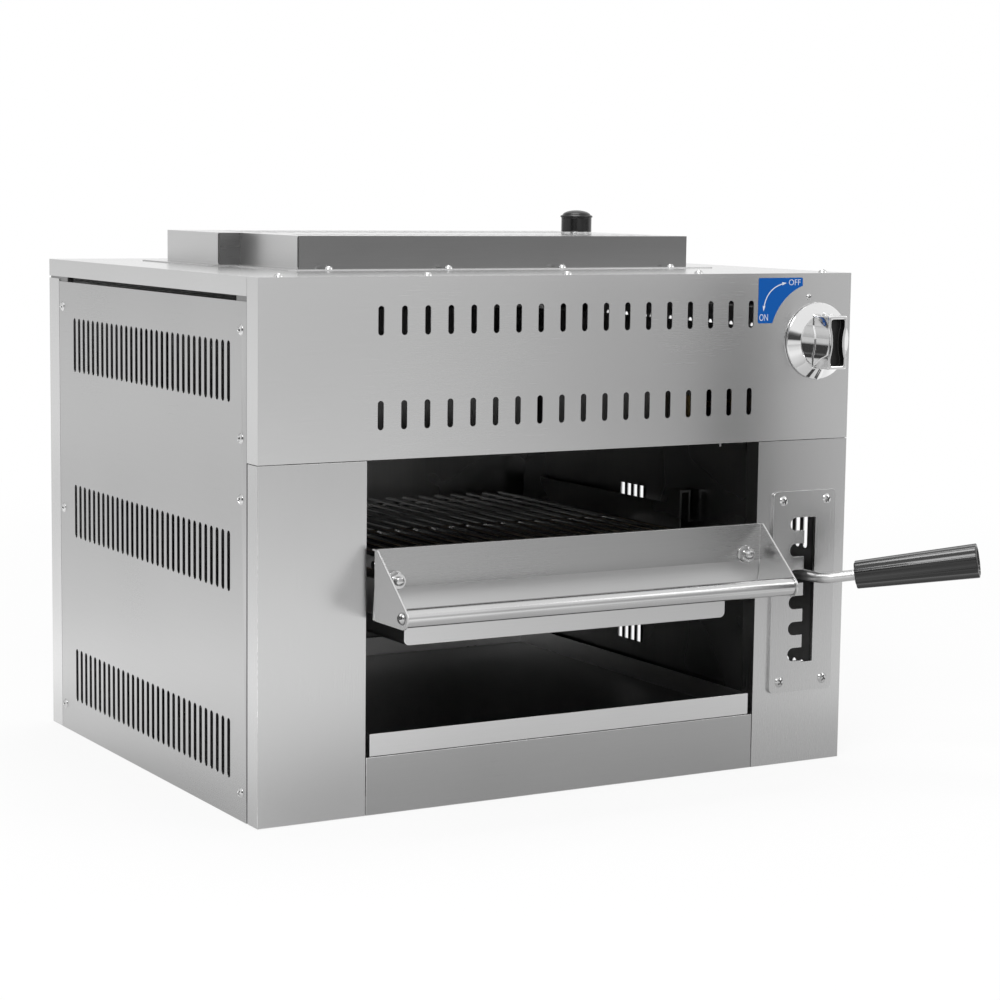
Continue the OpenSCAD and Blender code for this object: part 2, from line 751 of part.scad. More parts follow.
// direction of the inner, straight part of the lever as seen from above
lever_dir = [sin(swing), -cos(swing), 0];
bend_at = [notch_x, lever_y, rest_z] + lever_dir * (bend_y - lever_y) / lever_dir[1];
tail_turn = swing + bend_turn;
bend_end = bend_r * [cos(swing) - cos(tail_turn), sin(swing) - sin(tail_turn), 0];

// everything past the start of the bend is turned about the inner part, so that it rises
module past_bend() {
    translate(bend_at) rotate(a = tilt, v = lever_dir) children();
}

// from the end of the bend outwards, along +Z
module tail() {
    past_bend() translate(bend_end) rotate([0, 0, tail_turn - 90]) rotate([0, 90, 0]) children();
}

module lever_rod() color(bright) {
    r = rod_d / 2;
    difference() {
        union() {
            translate([notch_x, lever_y, rest_z - eye_h / 2]) cylinder(r = 10, h = eye_h);
            rod([notch_x, lever_y, rest_z] + 7 * lever_dir, bend_at + 0.5 * lever_dir, r);
            past_bend() rotate([0, 0, 180 + swing]) translate([-bend_r, 0, 0])
                rotate_extrude(angle = bend_turn) translate([bend_r, 0]) circle(r + 0.05);
            tail() translate([0, 0, -0.5]) cylinder(r = r, h = bare_l + grip_grasp + 0.5);
        }
        translate([notch_x, lever_y, rest_z - 9]) cylinder(r = pin_d / 2 + fit, h = 18);
    }
}

module lever_grip() color(black) {
    tail() translate([0, 0, bare_l]) difference() {
        union() {
            cylinder(r1 = 13, r2 = 16.1, h = grip_l - 1.2);
            translate([0, 0, grip_l - 1.2]) cylinder(r1 = 16.1, r2 = 15, h = 1.2);
        }
        translate([0, 0, -1]) cylinder(d = rod_d, h = grip_grasp + 1.3);
        for (i = [0:9]) rotate([0, 0, 36 * i]) translate([16.7, 0, -1]) rotate([0, 1.6, 0]) {
            cylinder(r = 5, h = grip_l + 2, $fn = 24);
        }
    }
}

// ---------- rack and trays ----------

module rack_grid() color(bright) {
    back = rack_back;
    for (m = [-1, 1]) {
        rod([m * bar_x, rack_y - 11, bar_z], [m * bar_x, back, bar_z], bar_d / 2);
        sided(m) box([bar_x + 1, back - 14, bar_z + 2], [bar_x + 4, back - 10, bar_z + 7]);
    }
    for (y = cross_y) rod([-bar_x - 0.5, y, cross_z], [bar_x + 0.5, y, cross_z], cross_d / 2);
    for (i = [1:rack_rods]) {
        x = -bar_x + i * 2 * bar_x / (rack_rods + 1);
        rod([x, rack_y + rack_plate_t, rod_z], [x, back, rod_z], rack_rod_d / 2);
    }
}

module rack_front_plate() color(steel) {
    t = rack_plate_t;
    y = rack_y;
    difference() {
        slab_x(-rack_half, 2 * rack_half) polygon([
            [y, rack_z[1]], [y, crease_z], [y + 3, rack_z[0]], [y + 3 + t, rack_z[0]],
            [y + t, crease_z], [y + t, rack_z[1] - t], [y + 6, rack_z[1] - t], [y + 6, rack_z[1]]
        ]);
        for (m = [-1, 1]) rod([m * bar_x, y - 9, bar_z], [m * bar_x, y + 9, bar_z], bar_d / 2);
    }
    r = handle_d / 2 + 1.5;
    c = [handle_y, handle_z];
    p = [y - 3, rack_z[1]];
    for (m = [-1, 1]) sided(m) slab_x(rack_half - t, t) difference() {
        union() {
            polygon([[y + 0.5, c[1] - r], [y + 0.5, rack_z[1]], p, touch(c, r, p), c, [c[0], c[1] - r]]);
            translate(c) circle(r);
        }
        translate(c) circle(2.5);
    }
}

module rack_handle_tube() color(bright) {
    x = rack_half - rack_plate_t;
    difference() {
        rod([-x, handle_y, handle_z], [x, handle_y, handle_z], handle_d / 2);
        rod([-x + 14, handle_y, handle_z], [x - 14, handle_y, handle_z], handle_d / 2 - 1.5);
        for (m = [-1, 1]) rod([m * (x - 12), handle_y, handle_z], [m * (x + 1), handle_y, handle_z], 2.5);
    }
}

module rack_fasteners() color(bright) {
    for (m = [-1, 1]) {
        translate([m * bar_x, rack_y, bar_z]) rotate([90, 0, 0]) difference() {
            union() {
                cylinder(r = 8, h = 1.4);
                cylinder(d = 13 / cos(30), h = 7.5, $fn = 6);
            }
            translate([0, 0, -1]) cylinder(d = bar_d, h = 12);
        }
        sided(m) translate([rack_half, handle_y, handle_z]) rotate([0, 90, 0]) {
            screw(r = 5.4, h = 4, shank = 12, shank_r = 2.5);
        }
    }
}

module drip_tray() color(steel) {
    t = 1.2;
    translate([0, 0, drip_top]) difference() {
        union() {
            slab_z(-t, t) rect([-drip_x - 13, drip_y[0] + 14], [drip_x + 13, drip_y[1]]);
            slab_y(drip_y[0], drip_y[1] - drip_y[0]) {
                rect([-drip_x, -drip_depth + 5], [drip_x, 0]);
                round_rect([-drip_x, -drip_depth], [drip_x, -drip_depth + 12], 5);
            }
        }
        slab_y(drip_y[0] + t, drip_y[1] - drip_y[0] - 2 * t) {
            rect([-drip_x + t, -drip_depth + 5 + t], [drip_x - t, 1]);
            round_rect([-drip_x + t, -drip_depth + t], [drip_x - t, -drip_depth + 12], 5 - t);
        }
    }
}

module crumb_tray() color(steel) {
    t = 1;
    lo = [-crumb_x, -hd + 1, crumb_z];
    hi = [crumb_x, rear_wall_y - 7, crumb_z + crumb_depth];
    difference() {
        box(lo, hi);
        box(lo + [t, t, t], hi + [-t, -t, t]);
    }
}

// ---------- knob ----------

module knob() color(bright) {
    y = -hd - 0.5;
    difference() {
        union() {
            translate([knob_x, y, knob_z]) rotate([90, 0, 0]) rotate_extrude() polygon([
                [0, 0], [knob_d / 2, 0], [knob_d / 2, 2], [knob_d * 0.35, 9.5], [knob_d * 0.33, 9], [0, 9]
            ]);
            translate([knob_x, y - 8.5, knob_z]) rotate([90, 0, 0]) linear_extrude(23) {
                difference() {
                    square([21, 48.4], center = true);
                    for (m = [-1, 1]) translate([m * 50, 0]) circle(41.8);
                }
            }
            for (m = [-1, 1]) translate([knob_x - 2, y - 5.6, knob_z + m * (knob_d / 2 - 5) - 4]) {
                cube([4, 5, 8]);
            }
        }
        rod([knob_x, -hd + 1, knob_z], [knob_x, -hd - 20, knob_z], stem_d / 2);
        translate([knob_x, y - 25.5, knob_z]) rotate([90, 0, 0]) linear_extrude(9) difference() {
            square([15.4, 42.8], center = true);
            for (m = [-1, 1]) translate([m * 50, 0]) circle(44.6);
        }
    }
}

module valve_stem() color(brass) {
    rod([knob_x, -hd + 28, knob_z], [knob_x, -hd - 20, knob_z], stem_d / 2);
}

// ---------- one line for each node ----------

base_pan();
corner_posts();
left_side_panel();
right_side_panel();
rear_panel();
top_cover();
flue_cap();
front_hood();
left_front_column();
right_front_column();
front_crosspiece();
left_inner_wall();
right_inner_wall();
rear_inner_wall();
crumb_tray_runners();
burner_shelf();
left_burner_box();
right_burner_box();
burner_tiles();
burner_guards();
gas_manifold();
burner_injectors();
gas_valve();
gas_supply_pipe();
gas_inlet_cap();
pilot_burner();
guide_plate();
guide_plate_screws();
side_panel_screws();
hood_screws();
flue_cap_screws();
rear_panel_screws();
knob_label();
left_pivot_bracket();
right_pivot_bracket();
lift_shaft();
left_lift_arm();
right_lift_arm();
left_follower_link();
right_follower_link();
left_carriage_rail();
right_carriage_rail();
carriage_crossbar();
left_coupler();
right_coupler();
rack_keepers();
lever_rod();
lever_grip();
rack_grid();
rack_front_plate();
rack_handle_tube();
rack_fasteners();
drip_tray();
crumb_tray();
knob();
valve_stem();
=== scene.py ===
"""Looks of a counter-top gas cheese melter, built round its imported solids.

Lengths are metres, in the frame of the solids: +Z up, -Y out of the open front. Shapes are worked
out in mm and scaled by MM where they become meshes.
"""

import json
import math

import bmesh
import bpy
import numpy as np
from mathutils import Matrix, Vector


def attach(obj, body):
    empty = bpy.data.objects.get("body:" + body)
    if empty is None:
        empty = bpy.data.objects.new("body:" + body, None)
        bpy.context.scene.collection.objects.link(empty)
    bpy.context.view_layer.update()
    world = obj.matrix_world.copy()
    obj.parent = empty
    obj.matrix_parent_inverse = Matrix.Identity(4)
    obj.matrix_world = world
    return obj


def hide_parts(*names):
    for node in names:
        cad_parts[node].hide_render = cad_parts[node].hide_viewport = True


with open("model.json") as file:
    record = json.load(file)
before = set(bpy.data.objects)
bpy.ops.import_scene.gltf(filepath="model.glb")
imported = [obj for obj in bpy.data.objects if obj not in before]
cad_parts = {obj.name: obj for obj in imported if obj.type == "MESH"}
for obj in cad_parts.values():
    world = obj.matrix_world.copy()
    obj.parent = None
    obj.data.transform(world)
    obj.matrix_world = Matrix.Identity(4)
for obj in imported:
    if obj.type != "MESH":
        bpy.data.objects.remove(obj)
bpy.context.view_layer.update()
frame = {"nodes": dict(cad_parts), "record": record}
nodes = frame["nodes"]
slot_of = {row["node"]: row["material_slot"] for row in frame["record"]["subparts"]}
body_of_node = {n: b for b, group in frame["record"]["behaviour"]["bodies"].items() for n in group}
MM = 0.001


# ---------- helpers for objects and shader nodes ----------

def in_scene(name, data):
    """A new object with this data, linked into the scene."""
    item = bpy.data.objects.new(name, data)
    bpy.context.scene.collection.objects.link(item)
    return item


def grey(value):
    return (value, value, value)


def fill(tree, socket, value):
    """Wires a socket to another socket, or sets it to a value; a colour gets an alpha of 1."""
    if isinstance(value, bpy.types.NodeSocket):
        tree.links.new(value, socket)
    elif socket.type == "RGBA":
        socket.default_value = (*value, 1)
    else:
        socket.default_value = value


def shader_node(tree, kind, inputs, **settings):
    """A shader node with its own settings, and its sockets filled by name or number."""
    node = tree.nodes.new("ShaderNode" + kind)
    for label, value in settings.items():
        setattr(node, label, value)
    for key, value in inputs.items():
        fill(tree, node.inputs[key], value)
    return node


def maths(tree, operation, a, b):
    """A Math node; a and b are sockets or numbers."""
    return shader_node(tree, "Math", {0: a, 1: b}, operation=operation).outputs[0]


def weighted(tree, a, share, b):
    """share a + (1 - share) b."""
    return maths(tree, "ADD", maths(tree, "MULTIPLY", a, share), maths(tree, "MULTIPLY", b, 1 - share))


def mapped(tree, source, low, high, out_low=0.0, out_high=1.0, curve="LINEAR"):
    """Map Range with both ends clamped."""
    ends = {"Value": source, "From Min": low, "From Max": high, "To Min": out_low, "To Max": out_high}
    return shader_node(tree, "MapRange", ends, interpolation_type=curve).outputs["Result"]


def noise(tree, vector, scale, detail, roughness=0.55):
    inputs = {"Vector": vector, "Scale": scale, "Detail": detail, "Roughness": roughness}
    return shader_node(tree, "TexNoise", inputs).outputs["Fac"]


def blend_colours(tree, share, first, second):
    """(1 - share) first + share second, for colours."""
    return shader_node(tree, "Mix", {0: share, 6: first, 7: second}, data_type="RGBA").outputs[2]


def blend_shaders(tree, share, first, second):
    """(1 - share) first + share second, for the shaders of two nodes."""
    inputs = {0: share, 1: first.outputs[0], 2: second.outputs[0]}
    return shader_node(tree, "MixShader", inputs).outputs[0]


def plain_material(name, surface):
    """A material whose tree holds its output and what surface(tree) makes, and nothing else."""
    material = bpy.data.materials.new(name)
    material.use_nodes = True
    tree = material.node_tree
    tree.nodes.clear()
    shader_node(tree, "OutputMaterial", {"Surface": surface(tree)})
    return material


def ease(value, low, high):
    """0 below low, 1 above high, and 3 k^2 - 2 k^3 between, for arrays."""
    k = np.clip((value - low) / (high - low), 0, 1)
    return k * k * (3 - 2 * k)


def between(value, start, full, past, end):
    """0 up to start, 1 from full to past and 0 again from end, eased between, for arrays."""
    return ease(value, start, full) * (1 - ease(value, past, end))


# ---------- camera, light and floor ----------

CAMERA_AZIMUTH = math.radians(-30.2)
CAMERA_ELEVATION = math.radians(7.08)
CAMERA_ROLL = math.radians(0.731)
CAMERA_TARGET = np.array([67.8, 0.0, 228.4]) * MM
CAMERA_DISTANCE = 2.459
SENSOR = 36.0
FOCAL_PIXELS = 2538.0
FRAME_PIXELS = 1000.0


def make_camera():
    """Stands the camera on a sphere about its target: azimuth 0 looks along +Y, and the roll
    turns the right and up vectors in their own plane."""
    a, e, r = CAMERA_AZIMUTH, CAMERA_ELEVATION, CAMERA_ROLL
    back = np.array([math.sin(a) * math.cos(e), -math.cos(a) * math.cos(e), math.sin(e)])
    right = np.cross(-back, [0, 0, 1])
    right /= np.linalg.norm(right)
    up = np.cross(right, -back)
    turned_right = math.cos(r) * right + math.sin(r) * up
    turned_up = math.cos(r) * up - math.sin(r) * right
    data = bpy.data.cameras.new("camera")
    data.sensor_width = SENSOR
    data.lens = FOCAL_PIXELS / FRAME_PIXELS * SENSOR
    data.clip_start, data.clip_end = 0.05, 60
    camera = in_scene("camera", data)
    matrix = np.eye(4)
    matrix[:3, 0], matrix[:3, 1], matrix[:3, 2] = turned_right, turned_up, back
    matrix[:3, 3] = CAMERA_TARGET + CAMERA_DISTANCE * back
    camera.matrix_world = Matrix(matrix.tolist())
    bpy.context.scene.camera = camera


def make_lamp(name, place, target, size, power):
    """An oblong area lamp at place, facing target."""
    data = bpy.data.lights.new(name, "AREA")
    data.shape = "RECTANGLE"
    data.size, data.size_y = size
    data.energy = power
    lamp = in_scene(name, data)
    lamp.location = place
    lamp.rotation_mode = "QUATERNION"
    lamp.rotation_quaternion = (Vector(target) - Vector(place)).to_track_quat("-Z", "Y")


def seen_directly(tree):
    """1 for camera, glossy and transmission rays, 0 for the rest."""
    path = shader_node(tree, "LightPath", {})
    first = maths(tree, "MAXIMUM", path.outputs["Is Camera Ray"], path.outputs["Is Glossy Ray"])
    return maths(tree, "MAXIMUM", first, path.outputs["Is Transmission Ray"])


def make_world(ambient):
    """White where it is seen or mirrored, and a plain grey light on everything else."""
    world = bpy.data.worlds.new("studio")
    bpy.context.scene.world = world
    world.use_nodes = True
    tree = world.node_tree
    tree.nodes.clear()
    light = shader_node(tree, "Background", {"Color": grey(ambient)})
    white = shader_node(tree, "Background", {"Color": grey(1)})
    shader_node(tree, "OutputWorld", {"Surface": blend_shaders(tree, seen_directly(tree), light, white)})


FLOOR_HALF, FLOOR_HEIGHT, FLOOR_GREY = 14.0, -0.0005, 0.88
# painted shadow and painted light on the floor, only as metal mirrors it: dark round DIM_SPOT, brighter
# further out
DIM_SPOT = (0.12, -0.1, 0)
DIM_TONES = ((0.0, 0.5), (0.36, 0.56), (0.56, 1.0), (0.82, 1.26), (1.3, 1.02), (2.0, 0.82), (2.9, 0.68))
DIM_REACH = 3.0


def make_floor(near, far, low, high):
    """A wide pale plate under the part. The share of white that is its own goes from near to far
    between low and high metres from the middle, so a faint shadow is left close to the part only.
    Metal mirrors it in DIM_TONES, pairs of (metres from DIM_SPOT, tone), out to DIM_REACH: a painted
    shadow round the part and a painted brighter band beyond it, seen only in reflections."""
    def surface(tree):
        spot = shader_node(tree, "TexCoord", {}).outputs["Object"]
        from_middle = shader_node(tree, "VectorMath", {0: spot}, operation="LENGTH").outputs["Value"]
        from_spot = shader_node(tree, "VectorMath", {0: spot, 1: DIM_SPOT}, operation="DISTANCE")
        reached = maths(tree, "DIVIDE", from_spot.outputs["Value"], DIM_REACH)
        bands = shader_node(tree, "ValToRGB", {0: reached})
        bands.color_ramp.interpolation = "EASE"
        stops = bands.color_ramp.elements
        for k, (metres, tone) in enumerate(DIM_TONES):
            stop = stops[k] if k < 2 else stops.new(metres / DIM_REACH)
            stop.position, stop.color = metres / DIM_REACH, (tone, tone, tone, 1)
        camera_ray = shader_node(tree, "LightPath", {}).outputs["Is Camera Ray"]
        tone = blend_colours(tree, camera_ray, bands.outputs["Color"], grey(1))
        own = mapped(tree, from_middle, low, high, near, far, "SMOOTHSTEP")
        return blend_shaders(tree, maths(tree, "MULTIPLY", seen_directly(tree), own),
                             shader_node(tree, "BsdfDiffuse", {"Color": grey(FLOOR_GREY)}),
                             shader_node(tree, "Emission", {"Color": tone}))

    s, z = FLOOR_HALF, FLOOR_HEIGHT
    mesh = bpy.data.meshes.new("floor")
    mesh.from_pydata([(-s, -s, z), (s, -s, z), (s, s, z), (-s, s, z)], [], [(0, 1, 2, 3)])
    mesh.materials.append(plain_material("floor_white", surface))
    floor = in_scene("floor", mesh)


def mirrored_screen(name, points, closed, shares, cloth, surface):
    """A grid of points that only mirrored rays meet, so it lights nothing and throws no shadow.
    Each point has a share, which surface(tree, share) turns into the cloth's look. A closed grid
    joins its last row to its first."""
    rows, columns = shares.shape
    i, j = np.meshgrid(np.arange(rows if closed else rows - 1), np.arange(columns - 1), indexing="ij")
    k = (i + 1) % rows
    faces = np.stack([i * columns + j, k * columns + j, k * columns + j + 1, i * columns + j + 1], -1)
    mesh = bpy.data.meshes.new(name)
    mesh.from_pydata(points.reshape(-1, 3).tolist(), [], faces.reshape(-1, 4).tolist())
    layer = mesh.attributes.new("share", "FLOAT", "POINT")
    layer.data.foreach_set("value", shares.ravel().astype(np.float32))

    def read_share(tree):
        read = shader_node(tree, "Attribute", {}, attribute_name="share")
        return surface(tree, read.outputs["Fac"])

    mesh.materials.append(plain_material(cloth, read_share))
    screen = in_scene(name, mesh)
    screen.visible_camera = screen.visible_diffuse = screen.visible_shadow = False
    screen.visible_transmission = screen.visible_volume_scatter = False


def make_surround():
    """The studio's walls as metal sees them: a ring of screens round the part whose brightness is
    white less a dark flag right of the front, a dark stand at the camera's azimuth, a dark curtain
    left of it, a grey skirting before the front and a grey back left."""
    def surface(tree, share):
        return shader_node(tree, "Emission", {"Color": share}).outputs[0]

    radius = 2.62
    heights = np.concatenate([[-0.02, 0.01], np.linspace(0.05, 4, 40)])
    turn, z = np.meshgrid(np.arange(0, 360, 1.5), heights, indexing="ij")
    azimuth = (turn + 180) % 360 - 180              # 0 in front, + to the right
    flag = between(azimuth, 46, 52, 70, 80) * (1 - ease(z, 1.2, 1.6))
    stand = between(azimuth, -46, -43, -25, -22) * (1 - ease(z, 1.0, 1.3)) * ease(z, 0.3, 0.45)
    back_left = (1 - ease(azimuth, -140, -125)) * ease(z, 0.05, 0.7)
    curtain = between(azimuth, -78, -74, -52, -48) * (1 - ease(z, 1.9, 2.4))
    skirting = between(azimuth, 0, 12, 50, 60) * (1 - ease(z, 0.55, 1.0))
    dark = 0.54 * flag + 0.93 * stand + 0.36 * back_left + 0.92 * curtain + 0.34 * skirting
    a = np.radians(turn)
    points = np.stack([radius * np.sin(a), -radius * np.cos(a), z], -1)
    mirrored_screen("studio_ring", points, True, np.clip(1 - dark, 0, 2), "studio_ring_tone", surface)


def make_net():
    """A graded black net 0.3 m before the front, met only by mirrored rays: it paints dark reflections
    on the metal and shades nothing. Its density rises from nothing on the left to a third, is nearly
    full in one upright band, and is a third again right of that, low down."""
    def surface(tree, share):
        return blend_shaders(tree, share, shader_node(tree, "BsdfTransparent", {}),
                             shader_node(tree, "Emission", {"Color": grey(0.02)}))

    x, z = np.meshgrid(np.linspace(-0.14, 0.56, 141), np.linspace(0.0, 0.46, 93), indexing="ij")
    rising = 0.30 * between(x, -0.14, 0.32, 0.42, 0.46)
    band = 0.95 * between(x, 0.345, 0.357, 0.42, 0.432) * ease(z, 0.1, 0.16)
    right = 0.34 * between(x, 0.37, 0.4, 0.5, 0.56) * (1 - ease(z, 0.2, 0.3))
    density = np.maximum(np.maximum(rising, band), right)
    points = np.stack([x, np.full_like(x, -0.54), z], -1)
    mirrored_screen("dark_net", points, False, density, "dark_net_cloth", surface)


make_camera()
make_world(0.62)
make_floor(0.84, 1.0, 0.45, 2.2)
make_surround()
make_net()
make_lamp("key", (-1.5, -1.7, 2.4), (0, 0, 0.25), (1.4, 1.1), 34)
make_lamp("fill", (1.9, -1.5, 1.4), (0, 0, 0.2), (1.2, 1.2), 9)
make_lamp("top", (0.15, 0.35, 2.9), (0, 0, 0.4), (1.2, 1.2), 22)
bpy.context.scene.view_settings.view_transform = "Standard"


# ---------- shader groups ----------

def new_group(name, inputs, outputs):
    """An empty node group with its start and end; inputs are (name, kind, default) and outputs
    are the names of numbers."""
    group = bpy.data.node_groups.new(name, "ShaderNodeTree")
    for label, kind, value in inputs:
        socket = group.interface.new_socket(name=label, in_out="INPUT", socket_type="NodeSocket" + kind)
        socket.default_value = value
    for label in outputs:
        group.interface.new_socket(name=label, in_out="OUTPUT", socket_type="NodeSocketFloat")
    start = group.nodes.new("NodeGroupInput")
    end = group.nodes.new("NodeGroupOutput")
    return group, start.outputs, end.inputs


def grain_group():
    """Height and tone of a brushed surface: fine noise drawn out along one direction, which the
    caller sets by scaling the vector."""
    group, start, end = new_group("brushed_grain", [("Vector", "Vector", (0, 0, 0))], ["Height", "Tone"])
    fine = noise(group, start["Vector"], 1.0, 2.0, 0.7)
    broad = noise(group, start["Vector"], 0.16, 2.0, 0.5)
    both = weighted(group, fine, 0.85, broad)
    fill(group, end["Height"], both)
    fill(group, end["Tone"], mapped(group, both, 0.1, 0.9))
    return group


def cloud_group():
    """Faint wiping marks: broad, soft noise bent by a second, broader one."""
    group, start, end = new_group(
        "wiping_marks", [("Vector", "Vector", (0, 0, 0)), ("Scale", "Float", 6.0)], ["Mask"])
    warp = shader_node(group, "TexNoise", {"Scale": 3.0, "Vector": start["Vector"]})
    bent = shader_node(group, "VectorMath", {0: warp.outputs["Color"], 1: grey(0.05), 2: start["Vector"]},
                       operation="MULTIPLY_ADD")
    marks = noise(group, bent.outputs[0], start["Scale"], 1.5, 0.45)
    fill(group, end["Mask"], mapped(group, marks, 0.3, 0.7))
    return group


def wear_group():
    """Worn edges: two noises, a coarse one for the rubbed stretches and a fine one for nicks."""
    group, start, end = new_group("edge_wear", [("Vector", "Vector", (0, 0, 0))], ["Mask"])
    rubbed = mapped(group, noise(group, start["Vector"], 18.0, 2.0), 0.35, 0.6)
    nicks = mapped(group, noise(group, start["Vector"], 260.0, 3.0), 0.3, 0.55)
    fill(group, end["Mask"], maths(group, "MULTIPLY", rubbed, nicks))
    return group


GRAIN, CLOUDS, WEAR = grain_group(), cloud_group(), wear_group()


# ---------- materials ----------

def principled(name, **values):
    """A material with one Principled BSDF; values are set on its own sockets."""
    material = bpy.data.materials.new(name)
    material.use_nodes = True
    shader = material.node_tree.nodes["Principled BSDF"]
    for label, value in values.items():
        shader.inputs[label.replace("_", " ")].default_value = value
    return material, material.node_tree, shader


def coordinates(tree, scale=(1, 1, 1)):
    """Object coordinates, scaled."""
    spot = shader_node(tree, "TexCoord", {}).outputs["Object"]
    return shader_node(tree, "Mapping", {"Scale": scale, "Vector": spot}).outputs["Vector"]


def grain(tree, stretch):
    """Height and tone of the grain, with the coordinates scaled by the three numbers of stretch."""
    node = shader_node(tree, "Group", {"Vector": coordinates(tree, stretch)}, node_tree=GRAIN)
    return node.outputs["Height"], node.outputs["Tone"]


def wiping_marks(tree, scale):
    inputs = {"Vector": coordinates(tree), "Scale": scale}
    return shader_node(tree, "Group", inputs, node_tree=CLOUDS).outputs["Mask"]


def dress(tree, shader, colour, roughness, height, strength, distance):
    """Fills a shader's colour and roughness, and lets a height tilt its normal: strength is the
    share of the tilt, distance the height of 1 in metres."""
    fill(tree, shader.inputs["Base Color"], colour)
    fill(tree, shader.inputs["Roughness"], roughness)
    tilt = shader_node(tree, "Bump", {"Strength": strength, "Distance": distance, "Height": height})
    fill(tree, shader.inputs["Normal"], tilt.outputs["Normal"])


ALONG = {"x": (22, 2600, 2600), "y": (2600, 22, 2600), "z": (2600, 2600, 22)}


def brushed(name, along, dark, light, smoothest, roughest):
    """Brushed sheet: grain along one axis, with faint wiping marks in its grey and roughness."""
    material, tree, shader = principled(name, Metallic=1.0)
    height, lines = grain(tree, ALONG[along])
    tone = weighted(tree, lines, 0.6, wiping_marks(tree, 5.0))
    dress(tree, shader, blend_colours(tree, tone, grey(dark), grey(light)),
          mapped(tree, tone, 0, 1, smoothest, roughest), height, 0.16, 0.00004)
    return material


steel_x = brushed("steel_brushed_across", "x", 0.62, 0.69, 0.24, 0.29)
steel_y = brushed("steel_brushed_deep", "y", 0.46, 0.52, 0.26, 0.31)
steel_z = brushed("steel_brushed_upright", "z", 0.54, 0.62, 0.23, 0.29)
tray_steel = brushed("tray_sheet", "x", 0.58, 0.66, 0.28, 0.34)
# a dark copy of the tray steel: painted shade on the crumb tray's floor
floor_in_painted_shade = brushed("crumb_floor_painted_shade", "x", 0.15, 0.2, 0.26, 0.34)
guide_steel = brushed("guide_sheet", "z", 0.50, 0.58, 0.23, 0.29)
cap_steel = brushed("flue_side_sheet", "y", 0.62, 0.70, 0.28, 0.34)
# a dark copy of the casing steel: painted shade on the flue cap's front and on the rear baffle
painted_shade_steel = brushed("painted_shade_sheet", "x", 0.19, 0.23, 0.26, 0.32)
# a darker copy of the tray steel: painted shade on the rack plate's upright front above the fold
upper_rack_plate_painted_shade = brushed("rack_plate_upper_painted_shade", "x", 0.37, 0.43, 0.25, 0.31)
# a darker copy of the casing steel: painted shade on the recessed crosspiece
crosspiece_in_painted_shade = brushed("crosspiece_painted_shade_sheet", "x", 0.42, 0.49, 0.26, 0.32)
# a light copy of the tray steel: painted light on the crumb tray's front lip
lip_in_painted_light = brushed("crumb_lip_painted_light", "x", 0.68, 0.76, 0.3, 0.36)


def rounded_edge():
    """The rounded rim of a cut sheet: dull where it is as cut, bright where it is rubbed."""
    material, tree, shader = principled("sheet_edge", Metallic=1.0)
    worn = shader_node(tree, "Group", {"Vector": coordinates(tree)}, node_tree=WEAR).outputs["Mask"]
    dress(tree, shader, blend_colours(tree, worn, grey(0.56), grey(0.82)),
          mapped(tree, worn, 0, 1, 0.42, 0.26), worn, 0.15, 0.00003)
    return material


edge_steel = rounded_edge()


def sooty(name, dark, light, smoothest, roughest, metallic):
    """Sheet darkened by heat: blotches and streaks between two dark tones."""
    material, tree, shader = principled(name, Metallic=metallic)
    blotches = wiping_marks(tree, 9.0)
    height, streaks = grain(tree, (400, 400, 10))
    tone = weighted(tree, blotches, 0.7, streaks)
    dress(tree, shader, blend_colours(tree, tone, grey(dark), grey(light)),
          mapped(tree, blotches, 0, 1, smoothest, roughest), height, 0.2, 0.00004)
    return material


lift_steel = sooty("linkage_steel", 0.06, 0.12, 0.35, 0.6, 0.85)


def polished(name, colour, roughness, metallic=1.0, lines=(700, 700, 700), relief=0.08, **values):
    """Bright metal or moulding: hairlines drawn out by `lines`, and broad soft changes of gloss."""
    material, tree, shader = principled(name, Metallic=metallic, **values)
    marks = wiping_marks(tree, 12.0)
    height, hairlines = grain(tree, lines)
    darker = tuple(c * 0.84 for c in colour)
    dress(tree, shader, blend_colours(tree, weighted(tree, hairlines, 0.5, marks), darker, colour),
          mapped(tree, marks, 0, 1, roughness, roughness * 1.25), height, relief, 0.00003)
    return material


chrome = polished("chrome_plate", grey(0.84), 0.04, relief=0.03)
# near-black metal: painted shade in the knob's hollow
hollow_in_painted_shade = polished("knob_hollow_painted_shade", grey(0.05), 0.45)
wire_steel = polished("rack_wire", grey(0.60), 0.1, relief=0.04)
tube_steel = polished("polished_tube", grey(0.66), 0.16, lines=(14, 1500, 1500), relief=0.25)
rod_steel = polished("lever_bar_metal", grey(0.74), 0.3, lines=(900, 60, 900), relief=0.15)


def screw_metal():
    """Bright head metal with painted shade in its hollows: near black where the geometry's pointiness
    is below that of a flat.
    """
    material = polished("screw_metal", grey(0.66), 0.12, relief=0.04)
    tree = material.node_tree
    base = tree.nodes["Principled BSDF"].inputs["Base Color"]
    bright = base.links[0].from_socket
    pointiness = shader_node(tree, "NewGeometry", {}).outputs["Pointiness"]
    # painted shade: the hollows of the cross recess go near black
    clear_of_painted_shade = mapped(tree, pointiness, 0.44, 0.505)
    fill(tree, base, blend_colours(tree, clear_of_painted_shade, grey(0.012), bright))
    return material


screw_steel = screw_metal()
black_bakelite = polished("grip_moulding", grey(0.003), 0.1, 0.0, relief=0.004, IOR=1.65)
black_plastic = polished("cap_moulding", grey(0.006), 0.22, 0.0, relief=0.02, IOR=1.45)


